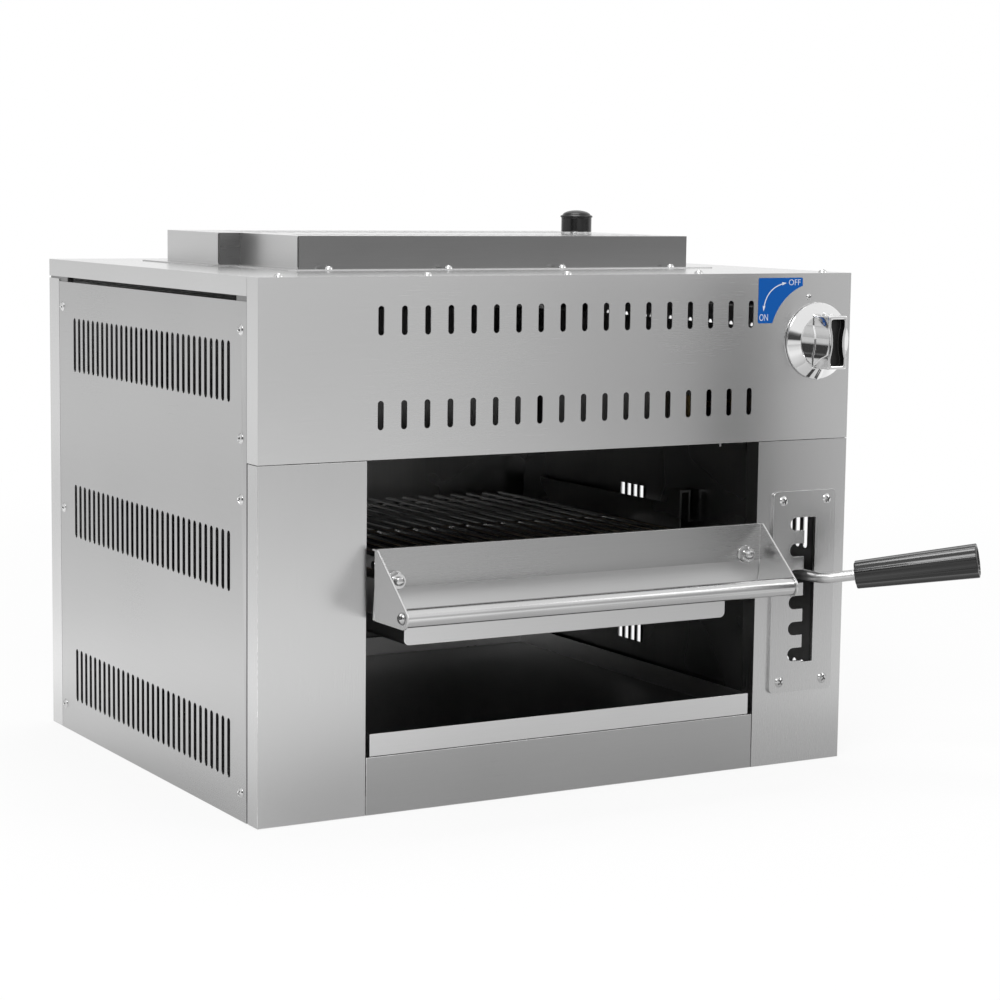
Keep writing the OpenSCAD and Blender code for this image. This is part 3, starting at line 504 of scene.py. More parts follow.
def tile_clay():
    """Pierced burner ceramic: a fine grid of round holes, painted dark as the shade inside them."""
    material, tree, shader = principled("burner_ceramic")
    inputs = {"Scale": 420.0, "Randomness": 0.15, "Vector": coordinates(tree)}
    holes = shader_node(tree, "TexVoronoi", inputs)
    solid = mapped(tree, holes.outputs["Distance"], 0.28, 0.42)
    dress(tree, shader, blend_colours(tree, solid, (0.12, 0.08, 0.06), (0.62, 0.5, 0.38)), 0.85,
          solid, 0.6, 0.0005)
    return material


label_blue = polished("label_ground", (0.0005, 0.094, 0.40), 0.5, 0.0, Specular_IOR_Level=0.1)
label_white = polished("label_print", (0.74, 0.78, 0.84), 0.4, 0.0, Specular_IOR_Level=0.3)

FINISH = {
    "brushed_steel": steel_x, "tray_steel": tray_steel, "wire_steel": wire_steel,
    "screw_steel": screw_steel, "knob_chrome": chrome, "label_film": label_blue,
    "black_bakelite": black_bakelite, "black_plastic": black_plastic, "tile_ceramic": tile_clay(),
    "dark_steel": sooty("heat_dark_steel", 0.17, 0.30, 0.22, 0.36, 0.95),
    "burner_steel": sooty("burner_sheet", 0.25, 0.4, 0.3, 0.5, 1.0),
    "pipe_steel": polished("pipe_metal", grey(0.2), 0.38),
    "brass": polished("brass_fitting", (0.62, 0.45, 0.2), 0.25),
}
OWN_FINISH = {
    "left_side_panel": steel_y, "right_side_panel": steel_y, "guide_plate": guide_steel,
    "left_front_column": steel_z, "right_front_column": steel_z, "front_crosspiece": crosspiece_in_painted_shade,
    "rack_handle_tube": tube_steel, "lever_rod": rod_steel,
}
LINKAGE = ("left_lift_arm", "right_lift_arm", "left_follower_link", "right_follower_link",
           "left_coupler", "right_coupler", "left_pivot_bracket", "right_pivot_bracket")
for name, item in nodes.items():
    own = lift_steel if name in LINKAGE else OWN_FINISH.get(name, FINISH[slot_of[name]])
    item.data.materials.clear()
    item.data.materials.append(own)


# ---------- surfaces ----------

def build(name, points, faces):
    """A mesh object from an array of points in metres and a list of faces, turned outwards: the
    volume is the sum over the faces' triangles of a . (b x c) / 6, and a negative one flips all."""
    points = np.asarray(points, float)
    volume = 0.0
    for size in {len(f) for f in faces}:
        ring = np.array([f for f in faces if len(f) == size])
        for k in range(1, size - 1):
            a, b, c = points[ring[:, 0]], points[ring[:, k]], points[ring[:, k + 1]]
            volume += np.einsum("ij,ij->", a, np.cross(b, c)) / 6
    if volume < 0:
        faces = [f[::-1] for f in faces]
    mesh = bpy.data.meshes.new(name)
    mesh.from_pydata(points.tolist(), [], [list(map(int, f)) for f in faces])
    mesh.update()
    return in_scene(name, mesh)


def smoothed(mesh, degrees):
    """Shades a mesh smooth, except across edges sharper than these degrees."""
    mesh.polygons.foreach_set("use_smooth", np.ones(len(mesh.polygons), bool))
    mesh.set_sharp_from_angle(angle=math.radians(degrees))


def stored(items, label, width, kind=float):
    """What each item of a mesh holds under a label, as an array of rows of this width."""
    values = np.empty(len(items) * width, kind)
    items.foreach_get(label, values)
    return values.reshape(-1, width)


def lattice(rings, count, start):
    """Faces of a closed tube of rings x count points, with a flat face over its first and last ring."""
    i, j = np.meshgrid(np.arange(rings - 1), np.arange(count), indexing="ij")
    k = (j + 1) % count
    quads = np.stack([i * count + j, i * count + k, (i + 1) * count + k, (i + 1) * count + j], -1)
    first = np.arange(count) + start
    ends = [first[::-1].tolist(), (first + (rings - 1) * count).tolist()]
    return (quads.reshape(-1, 4) + start).tolist() + ends


def join(parts):
    """Points and faces of several grids as one; each part is an array rings x count x 3."""
    points, faces, start = [], [], 0
    for grid in parts:
        points.append(grid.reshape(-1, 3))
        faces += lattice(grid.shape[0], grid.shape[1], start)
        start += grid.shape[0] * grid.shape[1]
    return np.concatenate(points), faces


def axes_of(direction):
    """Two unit vectors at right angles to the direction and to each other."""
    d = np.asarray(direction, float)
    d = d / np.linalg.norm(d)
    helper = np.array([0, 0, 1.0]) if abs(d[2]) < 0.9 else np.array([1.0, 0, 0])
    u = np.cross(helper, d)
    u /= np.linalg.norm(u)
    return d, u, np.cross(d, u)


def ringed(centre, direction, h, r, a):
    """Rings about a line: point = centre + d h + (u cos a + v sin a) r, with h and r in mm."""
    d, u, v = axes_of(direction)
    return (np.asarray(centre, float) + h[..., None] * d
            + (r * np.cos(a))[..., None] * u + (r * np.sin(a))[..., None] * v) * MM


def turned(profile, centre, direction, count, shape=None):
    """A turned piece: rings at the h of a profile of (h, r) stations, with the radius r f, where
    f = shape(a, h) at the angle a, or 1 where it is plain."""
    profile = np.asarray(profile, float)
    h, r = profile[:, :1], profile[:, 1:]
    a = np.linspace(0, 2 * np.pi, count, endpoint=False)[None, :]
    f = np.ones_like(r * a) * (1 if shape is None else shape(a, h))
    return ringed(centre, direction, h, r * f, a)


def rounded_profile(stations, radius, steps=4):
    """A profile of (h, r) stations with each inner corner replaced by a parabola: point =
    (1-t)^2 p + 2 t (1-t) corner + t^2 q, where p and q lie `radius` mm from the corner, or 0.38 of
    the flat where that is less. One more station lies a quarter of that further out, so that the
    flats beside them shade flat."""
    s = np.asarray(stations, float)
    out = [s[:1]]
    t = np.linspace(0, 1, steps)[:, None]
    for before, corner, after in zip(s[:-2], s[1:-1], s[2:]):
        a, b = before - corner, after - corner
        la, lb = np.linalg.norm(a), np.linalg.norm(b)
        ra, rb = min(radius, la * 0.38), min(radius, lb * 0.38)
        p, q = corner + a / la * ra, corner + b / lb * rb
        curve = (1 - t) ** 2 * p + 2 * t * (1 - t) * corner + t ** 2 * q
        out.append(np.concatenate([[p + a / la * ra * 0.25], curve, [q + b / lb * rb * 0.25]]))
    out.append(s[-1:])
    return np.concatenate(out)


def swept(path, radius, count, round_end=0.0):
    """A round bar along a path in mm: point = path(s) + (n cos a + b sin a) r(s), with n, b carried
    along without twist; r falls along a quarter circle over the last `round_end` mm at both ends."""
    path = np.asarray(path, float)
    tangent = np.gradient(path, axis=0)
    tangent /= np.linalg.norm(tangent, axis=1)[:, None]
    normal = np.empty_like(path)
    _, normal[0], _ = axes_of(tangent[0])
    for k in range(1, len(path)):
        n = normal[k - 1] - tangent[k] * np.dot(normal[k - 1], tangent[k])
        normal[k] = n / np.linalg.norm(n)
    side = np.cross(tangent, normal)
    r = np.full(len(path), float(radius))
    if round_end:
        s = np.concatenate([[0], np.cumsum(np.linalg.norm(np.diff(path, axis=0), axis=1))])
        k = np.clip(np.minimum(s, s[-1] - s) / round_end, 0, 1)
        r = radius - round_end + round_end * np.sqrt(np.clip(1 - (1 - k) ** 2, 0.0, 1))
    a = np.linspace(0, 2 * np.pi, count, endpoint=False)
    wheel = np.cos(a)[:, None] * normal[:, None, :] + np.sin(a)[:, None] * side[:, None, :]
    return (path[:, None, :] + r[:, None, None] * wheel) * MM


def straight(start, end, radius, count, round_end=0.6):
    """A straight round bar, with stations close together at its ends and none between."""
    k = round_end * np.array([0, 0.15, 0.5, 1])
    length = np.linalg.norm(np.subtract(end, start))
    s = np.concatenate([k, (length - k)[::-1]]) / length
    path = np.asarray(start, float) + s[:, None] * np.subtract(end, start)
    return swept(path, radius, count, round_end)


# ---------- screws, nuts and studs ----------

def cross_head(place, direction, radius=4.2, height=2.4, turn=0.4):
    """A pan head with a cross recess: its face is dome(r), less 0.75 height f where |x| < w or
    |y| < w inside r < reach, or where r < well. Each step takes 0.25 mm, and f = 1.2 - 0.5 r /
    reach, at most 1. Then down its rim to a flat underside and a shank."""
    def step(k):
        return np.clip(k / 0.25 + 0.5, 0, 1)

    count = 48
    ball = (radius ** 2 + height ** 2) / (2 * height)
    r = np.concatenate([np.linspace(0.02, radius * 0.62, 16), np.linspace(radius * 0.68, radius, 8)])[:, None]
    a = np.linspace(0, 2 * np.pi, count, endpoint=False)[None, :] + turn
    x, y = r * np.cos(a - turn), r * np.sin(a - turn)
    dome = np.sqrt(np.maximum(ball ** 2 - r ** 2, 0)) - ball + height
    w, reach, well = radius * 0.13, radius * 0.58, radius * 0.24
    arm = np.maximum(step(w - np.abs(x)), step(w - np.abs(y))) * step(reach - r)
    arm = np.maximum(arm, step(well - r))
    top = dome - arm * height * 0.75 * np.clip(1.2 - r / reach * 0.5, 0, 1)
    foot = np.array([(radius, -0.02), (radius * 0.5, -0.02), (radius * 0.45, -1.2), (0.05, -1.2)])
    radii, heights = (np.concatenate([np.broadcast_to(p, (len(p), count)), np.tile(q[:, None], count)])
                      for p, q in ((r, foot[:, 0]), (top, foot[:, 1])))
    return ringed(place, direction, heights, radii, a)


def hexagon(angle, _):
    """Radius factor of a hexagon against its inscribed circle: 1 / cos(a folded to +-30 degrees)."""
    folded = (angle + np.pi / 6) % (np.pi / 3) - np.pi / 6
    return 1 / np.cos(folded)


def thread(pitch, depth, radius):
    """Radius factor of a single thread: 1 - depth / r times |2 p - 1|, where p is the part of
    h / pitch - a / (2 pi) after the whole turns."""
    def shape(angle, height):
        phase = (height / pitch - angle / (2 * np.pi)) % 1
        return 1 - depth / radius * np.abs(2 * phase - 1)
    return shape


def dome_nut(place, direction, flats, height, hole):
    """A hexagon nut: its flats, then a chamfer to a round face, then its bore."""
    f = flats / 2
    sides = [(0, 0.2), (0, f), (height - 1.3, f), (height - 0.7, f * 0.985)]
    outer = turned(sides, place, direction, 48, hexagon)
    ring = turned([(height, f * 0.97), (height, hole), (0.6, hole), (0.6, 0.2)], place, direction, 48)
    return np.concatenate([outer, ring])


# ---------- places, in mm ----------

HALF_WIDTH, HALF_DEPTH, TOP = 300.0, 240.0, 455.0
SEAM = 302.6                       # lower edge of the hood front
REST = 175.8                       # height of the lever rod
GUIDE = (252.0, 67.5)              # middle and foot of the guide plate
KNOB = np.array([262.0, -240.5, 393.0])
LABEL_FACE, PRINT_BACK = -240.4, -240.38       # the print starts inside the label
CAP_TOP = 485.0
CAP_FLANGE, RACK_FOLD = 458, 196   # heights of the flue cap's flange and the rack plate's fold
RACK_FRONT = -251.0
RACK_HALF = 197.5
BAR = (179.0, 202.0)               # side bar of the rack
HANDLE = (-299.0, 178.0)
OUT, RIGHT, UP = np.array([[0, -1.0, 0], [1, 0, 0], [0, 0, 1]])


def placed(name, parts, material, body, slot, *stands_for, smooth=40):
    """One object from several grids, smooth except across edges sharper than `smooth` degrees."""
    points, faces = join(parts)
    item = build(name, points, faces)
    smoothed(item.data, smooth)
    item.data.materials.append(material)
    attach(item, body)
    if stands_for:
        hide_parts(*stands_for)


def second_finish(piece, material, chosen):
    """Gives the faces that `chosen` picks, from their centres and normals, a second material."""
    mesh = bpy.data.objects[piece].data
    mesh.materials.append(material)
    centre, normal = stored(mesh.polygons, "center", 3), stored(mesh.polygons, "normal", 3)
    index = stored(mesh.polygons, "material_index", 1, np.int32)
    index[chosen(centre / MM, normal)] = len(mesh.materials) - 1
    mesh.polygons.foreach_set("material_index", index.ravel())


# ---------- fasteners ----------

def casing_screws(name, stands_for, heads):
    placed(name, heads, screw_steel, "casing", "screw_steel", stands_for)


side_places = [(-207, z) for z in (411, 321.7, 271, 24)] + [(205, z) for z in (411, 217, 24)]
casing_screws("side_cross_heads", "side_panel_screws", [
    cross_head((m * HALF_WIDTH, y, z), m * RIGHT, 4.8, turn=0.3 * k)
    for m in (-1, 1) for k, (y, z) in enumerate(side_places)])
casing_screws("guide_cross_heads", "guide_plate_screws", [
    cross_head((GUIDE[0] + x, -HALF_DEPTH - 3, GUIDE[1] + z), OUT, 4.9, turn=0.2 + x * z * 0.01)
    for x in (-24.4, 24.7) for z in (10.5, 179.1)])
hood_heads = [cross_head((k * 138.0, -228, TOP), UP, height=3.2, turn=0.5 * k) for k in range(-2, 3)]
hood_heads += [cross_head((m * 187.0, -230, SEAM), -UP) for m in (-1, 1)]
hood_heads.append(cross_head((GUIDE[0], -HALF_DEPTH, TOP - 21.6), OUT, 2.9, 1.8))
pin = rounded_profile([(-0.3, 0.05), (-0.3, 1.3), (4.4, 1.3), (4.4, 0.05)], 0.5)
hood_heads.append(turned(pin, (164, -230, SEAM), -UP, 16))
casing_screws("hood_cross_heads", "hood_screws", hood_heads)
casing_screws("flue_cross_heads", "flue_cap_screws", [
    cross_head((191 - 120.0 * k, y, TOP + 1.2), UP, height=3.2, turn=0.7 * k + y)
    for k in range(4) for y in (-103.0, 157.0)])
casing_screws("rear_cross_heads", "rear_panel_screws", [
    cross_head((m * 286.0, HALF_DEPTH, z), -OUT, turn=z) for m in (-1, 1) for z in (60, 230, 400)])

rack_parts = []
washer = rounded_profile([(0, 4.2), (0, 8), (1.4, 8), (1.4, 4.2), (0, 4.2)], 0.3)
for m in (-1, 1):
    spot = np.array([m * BAR[0], RACK_FRONT, BAR[1]])
    rack_parts += [turned(washer, spot, OUT, 40), dome_nut(spot + OUT * 1.4, OUT, 13, 6.1, 4.05),
                   cross_head((m * RACK_HALF, *HANDLE), m * RIGHT, 5.4, 4.0)]
placed("rack_nuts_and_heads", rack_parts, screw_steel, "rack", "screw_steel", "rack_fasteners", smooth=35)


# ---------- rack ----------

def rack_rods():
    """Side bars with a thread at the front, cross rods below and the long rods above them, each
    let into the next by `weld` mm. The cross rods show `thicker` mm more radius and `higher` mm
    more height than the solids have, so that they catch the light between the long rods."""
    back, weld, gaps = 160.0, 0.6, 19
    side, cross, long_rod, stud = 4.0, 3.0, 2.5, 3.95
    thicker, higher = 0.6, 0.9
    parts = []
    for m in (-1, 1):
        x = m * BAR[0]
        front = (x, RACK_FRONT + 2, BAR[1])
        parts.append(straight(front, (x, back, BAR[1]), side, 28))
        profile = [(0, 0.05)] + [(h, stud) for h in np.linspace(0, 12.6, 90)] + [(13.0, 3.2), (13.0, 0.05)]
        parts.append(turned(profile, front, OUT, 28, thread(1.25, 0.35, stud)))
        hook = [(x - m * 2.5, back - 12, BAR[1] + up) for up in (2.5, 6.2)]
        parts.append(straight(*hook, 1.9, 16, 0.8))
    cross_z = BAR[1] + side + cross - weld
    rod_z = cross_z + cross + long_rod - weld
    for y in (137.0, -37.0, -211.0):
        ends = [(x, y, cross_z + higher) for x in (-BAR[0] - 0.5, BAR[0] + 0.5)]
        parts.append(straight(*ends, cross + thicker, 20))
    for k in range(1, gaps):
        x = -BAR[0] + k * 2 * BAR[0] / gaps
        parts.append(straight((x, RACK_FRONT + 1.5, rod_z), (x, back, rod_z), long_rod, 18, 0.9))
    return parts


placed("rack_rods", rack_rods(), wire_steel, "rack", "wire_steel", "rack_grid")

tube_end = RACK_HALF - 1.5
tube = rounded_profile([(0, 0.05), (0, 8), (2 * tube_end, 8), (2 * tube_end, 0.05)], 0.7)
placed("handle_bar", [turned(tube, (-tube_end, *HANDLE), RIGHT, 64)],
       tube_steel, "rack", slot_of["rack_handle_tube"], "rack_handle_tube")


# ---------- lever ----------

SWING, TURN, TILT = math.radians(5.00834), math.radians(41.5), math.radians(14.5)
LEVER_PIN = np.array([242.5, -64.99, REST])
LEVER_LINE = np.array([math.sin(SWING), -math.cos(SWING), 0])
TAIL_LINE = np.array([math.sin(SWING + TURN), -math.cos(SWING + TURN), 0])
TAIL_SIDE = np.array([math.cos(SWING + TURN), math.sin(SWING + TURN), 0])
BEND, BARE, GRASP = 20.0, 22.0, 28.0
BEND_AT = LEVER_PIN + LEVER_LINE * (-256.4 - LEVER_PIN[1]) / LEVER_LINE[1]


def past_bend(turn):
    """Offsets along the bend from its start: a circle of radius BEND about its middle on the
    right, BEND ((cos S, sin S) - (cos (S + a), sin (S + a))), for the angles a in turn."""
    a = np.atleast_1d(turn) + SWING
    start = np.array([math.cos(SWING), math.sin(SWING), 0])
    return BEND * (start - np.stack([np.cos(a), np.sin(a), 0 * a], -1))


def lifted(offset):
    """An offset past the bend, turned about the lever's inner line by the tilt: o cos t +
    (k x o) sin t + k (k . o)(1 - cos t), then moved to the bend's start."""
    o = np.atleast_2d(np.asarray(offset, float))
    k = LEVER_LINE
    return BEND_AT + (o * math.cos(TILT) + np.cross(k, o) * math.sin(TILT)
                      + np.outer(o @ k, k) * (1 - math.cos(TILT)))


def lever_path(end):
    """Straight from the eye to the bend, round it, then straight on for `end` mm."""
    inner = LEVER_PIN + LEVER_LINE * np.linspace(8, np.linalg.norm(BEND_AT - LEVER_PIN), 3)[:, None]
    arc = past_bend(np.linspace(0, TURN, 18)[1:])
    tail = arc[-1] + np.outer(np.linspace(0, end, 4)[1:], TAIL_LINE)
    return np.concatenate([inner, lifted(np.concatenate([arc, tail]))])


eye = rounded_profile([(-5.2, 4.05), (-5.2, 10), (5.2, 10), (5.2, 4.05), (-5.2, 4.05)], 0.8)
placed("lever_bar", [turned(eye, LEVER_PIN, UP, 48), swept(lever_path(BARE + GRASP), 5.0, 36)],
       rod_steel, "lever", slot_of["lever_rod"], "lever_rod")


def fluted_grip():
    """A tapered grip with eight broad, shallow scallops: its radius is the lesser of the cone's,
    12.95 + 2.9 s / length, and the near side of a circle of radius `cutter` about a point `off`
    outside the cone, joined by a parabola where the two differ by less than `soft`. Both ends are
    rounded by `rim_round`, and the far one is dished inside its rim."""
    def along(distance):
        return base + distance[..., None] * TAIL_LINE

    base = past_bend(TURN)[0] + TAIL_LINE * BARE
    length, count, flutes = 111.8, 240, 8
    cutter, off, soft, rim_round, dish = 14.0, 12.9, 0.3, 1.2, 1.8
    s = np.concatenate([np.linspace(0, 3, 12), np.linspace(3, length - 3, 36)[1:-1],
                        np.linspace(length - 3, length, 12)])
    cone = 12.95 + 2.9 * s / length
    inward = np.clip(np.minimum(s, length - s) / rim_round, 0, 1)
    round_off = rim_round * (1 - np.sqrt(np.clip(1 - (1 - inward) ** 2, 0, 1)))
    a = np.linspace(0, 2 * np.pi, count, endpoint=False)
    share = 2 * np.pi / flutes
    u = (a + 0.1 + share / 2) % share - share / 2
    middle = (cone + off)[:, None]
    reach = middle * np.sin(np.abs(u))[None, :]
    scallop = middle * np.cos(u)[None, :] - np.sqrt(np.clip(cutter ** 2 - reach ** 2, 0, cutter ** 2))
    gap = cone[:, None] - scallop
    cut = np.where(gap > soft, gap, np.where(gap < -soft, 0, (gap + soft) ** 2 / (4 * soft)))
    r = cone[:, None] - cut - round_off[:, None]
    wheel = np.cos(a)[:, None] * TAIL_SIDE + np.sin(a)[:, None] * UP
    grid = along(s)[:, None, :] + r[..., None] * wheel
    rim = along(np.array([20.0, 0.0]))[:, None, :] + 5.1 * wheel
    tip = (along(length - np.array([0.0, dish, dish]))[:, None, :]
           + np.array([13.2, 12.9, 0.05])[:, None, None] * wheel)
    whole = np.concatenate([rim, grid, tip])
    return lifted(whole.reshape(-1, 3)).reshape(whole.shape) * MM


placed("fluted_grip", [fluted_grip()], black_bakelite, "lever", "black_bakelite", "lever_grip", smooth=50)


# ---------- knob ----------

def waisted(half_width, half_height, circle, corner):
    """Outline of the bar, seen from the front: a rectangle whose long sides follow
    x = 50 - sqrt(circle^2 - z^2) where that is nearer, with quarter circles at its corners."""
    def rounding(middle, quarter):
        a = np.pi / 2 * (1 - t[::3]) - np.pi / 2 * quarter
        return np.stack([width + corner * np.cos(a), middle + corner * np.sin(a)], -1)

    t = np.linspace(0, 1, 24, endpoint=False)
    width, height = half_width - corner, half_height - corner
    top = np.stack([width * (2 * t - 1), 0 * t + half_height], -1)
    z = height * (1 - 2 * t)
    side = np.stack([np.minimum(half_width, 50 - np.sqrt(circle ** 2 - z ** 2)), z], -1)
    right = np.concatenate([top, rounding(height, 0), side, rounding(-height, 1)])
    return np.concatenate([right, -right])


def knob_bar():
    """The grip of the knob: rings between an outer and an inner waisted outline, (1 - w) outer +
    w inner, at heights that make a foot fillet, rounded rims and a hollow front."""
    outer, inner = waisted(10.5, 24.2, 41.8, 1.6), waisted(7.5, 21.2, 44.8, 2.4)
    steps = [(-0.35, 8.9), (-0.3, 9.3), (-0.12, 9.8), (0, 10.5), (0, 11.0), (0, 30.5), (0, 31.0),
             (0.05, 31.6), (0.2, 32.0), (0.28, 32.03), (0.68, 32.03), (0.78, 32.0), (0.94, 31.7),
             (1.0, 31.2), (1.0, 30.8), (1.06, 26.6), (1.08, 26.3), (1.25, 26.0), (1.35, 26.0)]
    grid = np.stack([np.concatenate([(1 - w) * outer + w * inner, np.full((len(outer), 1), h)], 1)
                     for w, h in steps])
    return (KNOB + grid[..., :1] * RIGHT + grid[..., 1:2] * UP + (grid[..., 2:] - 0.5) * OUT) * MM


def index_rib(angle, height):
    """Two raised V ribs on the skirt's cone, at the top and bottom: 1 + 1.4 mm / r times
    (1 - |distance from the rib's line| / 3.4 mm), only between the rim and the inner disc."""
    r, rise, half, far = 30.0, 1.4, 3.4, 99
    turn = angle - np.pi / 2
    away = np.minimum(np.abs(np.sin(turn)), 1) * r + far * (np.abs(np.cos(turn)) < 0.5)
    on_cone = np.clip((height - 2.2) / 0.4, 0, 1) * np.clip((9.3 - height) / 0.3, 0, 1)
    return 1 + rise / r * np.clip(1 - away / half, 0, 1) * on_cone


skirt = np.concatenate([
    rounded_profile([(0, 0.05), (0, 34.2), (0.2, 35), (2, 35), (2.8, 33.87)], 0.5, 5),
    [(h, 35 - (h - 2) * 10.2 / 7.2) for h in np.linspace(3.1, 8.6, 12)],
    rounded_profile([(8.8, 25.4), (9.2, 24.8), (8.7, 24.0), (8.7, 0.05)], 0.5, 4)])
placed("knob_skirt_and_bar", [turned(skirt, KNOB, OUT, 160, index_rib), knob_bar()],
       chrome, "knob_unit", "knob_chrome", "knob", smooth=32)
# the walls and floor of the hollow in the bar's front, painted near black as shade
second_finish("knob_skirt_and_bar", hollow_in_painted_shade,
              lambda c, n: ((c[:, 1] < -265) & (c[:, 1] > -271)
                            & (abs(c[:, 0] - KNOB[0]) < 7.8) & (abs(c[:, 2] - KNOB[2]) < 21.7)))


# ---------- label ----------

def label_outline():
    """A rectangle with small round corners whose lower right side is an arc about the knob."""
    def corner(cx, cz, turn):
        a = np.linspace(0, np.pi / 2, 6) + turn
        return np.stack([cx + r * np.cos(a), cz + r * np.sin(a)], -1)

    x0, x1, z0, z1, r, reach = 195.5, 244.5, 410.0, 451.0, 1.5, 53.5
    end_a = math.atan2(math.sqrt(reach ** 2 - (x1 - KNOB[0]) ** 2), x1 - KNOB[0])
    end_b = math.atan2(z0 - KNOB[2], -math.sqrt(reach ** 2 - (z0 - KNOB[2]) ** 2))
    b = np.linspace(end_b, end_a, 30)
    arc = np.stack([KNOB[0] + reach * np.cos(b), KNOB[2] + reach * np.sin(b)], -1)
    return np.concatenate([corner(x1 - r, z1 - r, 0), corner(x0 + r, z1 - r, np.pi / 2),
                           corner(x0 + r, z0 + r, np.pi), arc])


def flat_piece(outline, back, front):
    """A flat closed form: the outline in x and z at y = back and y = front, both in mm."""
    rings = [np.stack([outline[:, 0], np.full(len(outline), y), outline[:, 1]], -1) for y in (back, front)]
    return np.stack(rings) * MM


def print_arrow():
    """A line 0.9 mm wide along (1-t)^2 p + 2 t (1-t) c + t^2 q, with a flat head at both ends."""
    p, c, q = np.array([[201.1, 420.9], [202.8, 443.0], [226.1, 446.3]])
    t = np.linspace(0.09, 0.91, 30)[:, None]
    line = (1 - t) ** 2 * p + 2 * t * (1 - t) * c + t ** 2 * q
    along = np.gradient(line, axis=0)
    along /= np.linalg.norm(along, axis=1)[:, None]
    n = np.stack([-along[:, 1], along[:, 0]], -1)
    stroke = np.concatenate([line + n * 0.45, (line - n * 0.45)[::-1]])
    parts = [flat_piece(stroke, PRINT_BACK, -240.47)]
    for tip in (p, q):
        way = (tip - c) / np.linalg.norm(tip - c)
        side = np.array([-way[1], way[0]])
        head = np.array([tip, tip - way * 5.0 + side * 1.5, tip - way * 4.4, tip - way * 5.0 - side * 1.5])
        parts.append(flat_piece(head, PRINT_BACK, -240.48))
    return parts


placed("label_film", [flat_piece(label_outline(), -HALF_DEPTH, LABEL_FACE)],
       label_blue, "casing", "label_film", "knob_label")
placed("label_arrow", print_arrow(), label_white, "casing", "label_film")


def print_word(word, low, high):
    """Plain capitals as a thin mesh, stretched to the box from low to high in x and z, in mm:
    each coordinate = low + k (high - low), with k its share of the plain letters' own box."""
    curve = bpy.data.curves.new("word", "FONT")
    curve.body = word
    curve.resolution_u = 4
    curve.extrude = 0.02
    curve.offset = -0.012
    source = in_scene("word", curve)
    bpy.context.view_layer.update()
    mesh = bpy.data.meshes.new_from_object(source)
    bpy.data.objects.remove(source)
    co = stored(mesh.vertices, "co", 3)
    k = (co - co.min(0)) / (co.max(0) - co.min(0))
    x, z = (low[i] + k[:, i] * (high[i] - low[i]) for i in (0, 1))
    y = PRINT_BACK - 0.09 * k[:, 2]
    mesh.vertices.foreach_set("co", (np.stack([x, y, z], -1) * MM).ravel())
    mesh.materials.clear()
    mesh.materials.append(label_white)
    mesh.update()
    item = in_scene("label_word_" + word.lower(), mesh)
    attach(item, "casing")


print_word("OFF", (228.8, 444.2), (241.8, 449.4))
print_word("ON", (196.7, 412.3), (206.1, 418.3))


# ---------- gas inlet ----------

INLET = np.array([143.5, -10.0, CAP_TOP])
wall_of_cap = [(h, 14.6) for h in np.linspace(2.8, 15.6, 14)]
dome_of_cap = [(18 + 5 * math.sin(a), 13.6 * math.cos(a)) for a in np.linspace(0.1, math.pi / 2 - 0.01, 12)]
bead_of_cap = [(16, 14.8), (16.3, 15.5), (17.2, 15.6), (17.9, 15.2)]
cap = [(2.6, 0.05), (2.6, 14.4)] + wall_of_cap + bead_of_cap + dome_of_cap
placed("inlet_dust_cap", [turned(cap, INLET, UP, 96)],
       black_plastic, "casing", "black_plastic", "gas_inlet_cap", smooth=60)
collar = rounded_profile([(0, 13.3), (0, 15), (2.5, 15), (2.5, 13.3), (0, 13.3)], 0.4)
placed("inlet_collar", [turned(collar, INLET, UP, 64)],
       screw_steel, "casing", "screw_steel")


# ---------- rear baffle in painted shade ---

def baffle_for_shade():
    """A dark channel behind the rear slots, put there so that they show shade and not the white studio
    through them: at every station along X the same open outline in y and z, a web with two flanges
    that meet the rear panel, walked once outside and once inside."""
    y0, y1, z0, z1, wall = HALF_DEPTH - 11, HALF_DEPTH - 1, 338.0, 412.0, 0.8
    outline = np.array([(y1, z0), (y0, z0), (y0, z1), (y1, z1), (y1, z1 - wall), (y0 + wall, z1 - wall),
                        (y0 + wall, z0 + wall), (y1, z0 + wall)])
    x = np.array([-212.0, -211.5, 211.5, 212.0])
    return np.stack([np.concatenate([np.full((len(outline), 1), v), outline], 1) for v in x]) * MM


placed("rear_painted_shade_baffle", [baffle_for_shade()], painted_shade_steel, "casing", "brushed_steel")


# ---------- solids kept in their own shape ----------

def own_copy(node, ending, join_flats):
    """A copy of a solid with its doubled points merged and, if asked, its flat faces joined."""
    mesh = nodes[node].data.copy()
    mesh.name = node + ending
    bm = bmesh.new()
    bm.from_mesh(mesh)
    bmesh.ops.remove_doubles(bm, verts=bm.verts, dist=2e-6)
    if join_flats:
        bmesh.ops.dissolve_limit(bm, angle_limit=math.radians(1.0), verts=bm.verts, edges=bm.edges)
    bm.to_mesh(mesh)
    bm.free()
    return in_scene(node + ending, mesh)


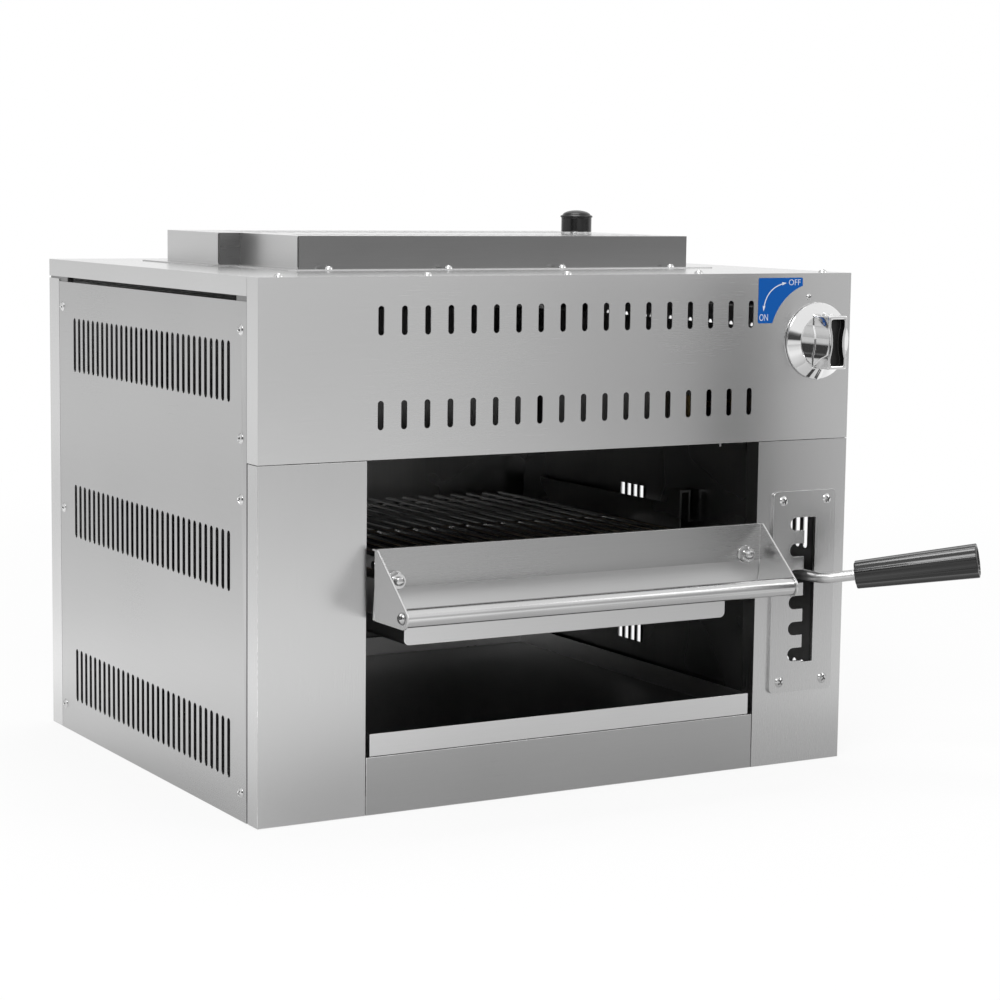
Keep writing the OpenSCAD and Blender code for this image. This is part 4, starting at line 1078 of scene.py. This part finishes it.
def stand_in(item, node):
    """Puts an object in the place of the solid of that name."""
    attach(item, body_of_node[node])
    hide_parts(node)


def kept(node):
    """A copy of a round solid, smooth except across edges sharper than 32 degrees."""
    item = own_copy(node, "_smooth", False)
    smoothed(item.data, 32)
    stand_in(item, node)


for part in ("gas_manifold", "burner_injectors", "gas_valve", "gas_supply_pipe", "pilot_burner",
             "burner_guards", "lift_shaft", *LINKAGE, "valve_stem"):
    kept(part)


def softened(node, width):
    """A copy of a sheet-metal solid with its edges rounded by width mm, in a finish of their own."""
    item = own_copy(node, "_rounded", True)
    edge = item.modifiers.new("edge", "BEVEL")
    edge.width = width * MM
    edge.segments = 2
    edge.limit_method = "ANGLE"
    edge.angle_limit = math.radians(35)
    edge.harden_normals = True
    item.data.materials.append(edge_steel)
    edge.material = 1
    stand_in(item, node)


for part in ("front_hood", "left_front_column", "right_front_column", "front_crosspiece",
             "guide_plate", "rack_front_plate", "drip_tray", "crumb_tray", "flue_cap", "top_cover",
             "left_side_panel", "right_side_panel"):
    softened(part, 0.45)


# the flue cap's front faces take painted shade; its left faces keep a light sheet
second_finish("flue_cap_rounded", painted_shade_steel, lambda c, n: (n[:, 1] < -0.9) & (c[:, 2] > CAP_FLANGE))
second_finish("flue_cap_rounded", cap_steel, lambda c, n: (n[:, 0] < -0.9) & (c[:, 2] > CAP_FLANGE))
# the crumb tray's forward faces take painted light, and its floor painted shade
second_finish("crumb_tray_rounded", lip_in_painted_light, lambda c, n: n[:, 1] < -0.3)
second_finish("crumb_tray_rounded", floor_in_painted_shade, lambda c, n: n[:, 2] > 0.9)
# painted light and shade on one sheet: the rack plate's leaning faces below the fold take the lighter  tray
# steel, its upright front above the fold a darker copy
second_finish("rack_front_plate_rounded", tray_steel,
              lambda c, n: (n[:, 1] < -0.3) & (c[:, 2] < RACK_FOLD))
second_finish("rack_front_plate_rounded", upper_rack_plate_painted_shade,
              lambda c, n: (n[:, 1] < -0.98) & (c[:, 2] > RACK_FOLD))
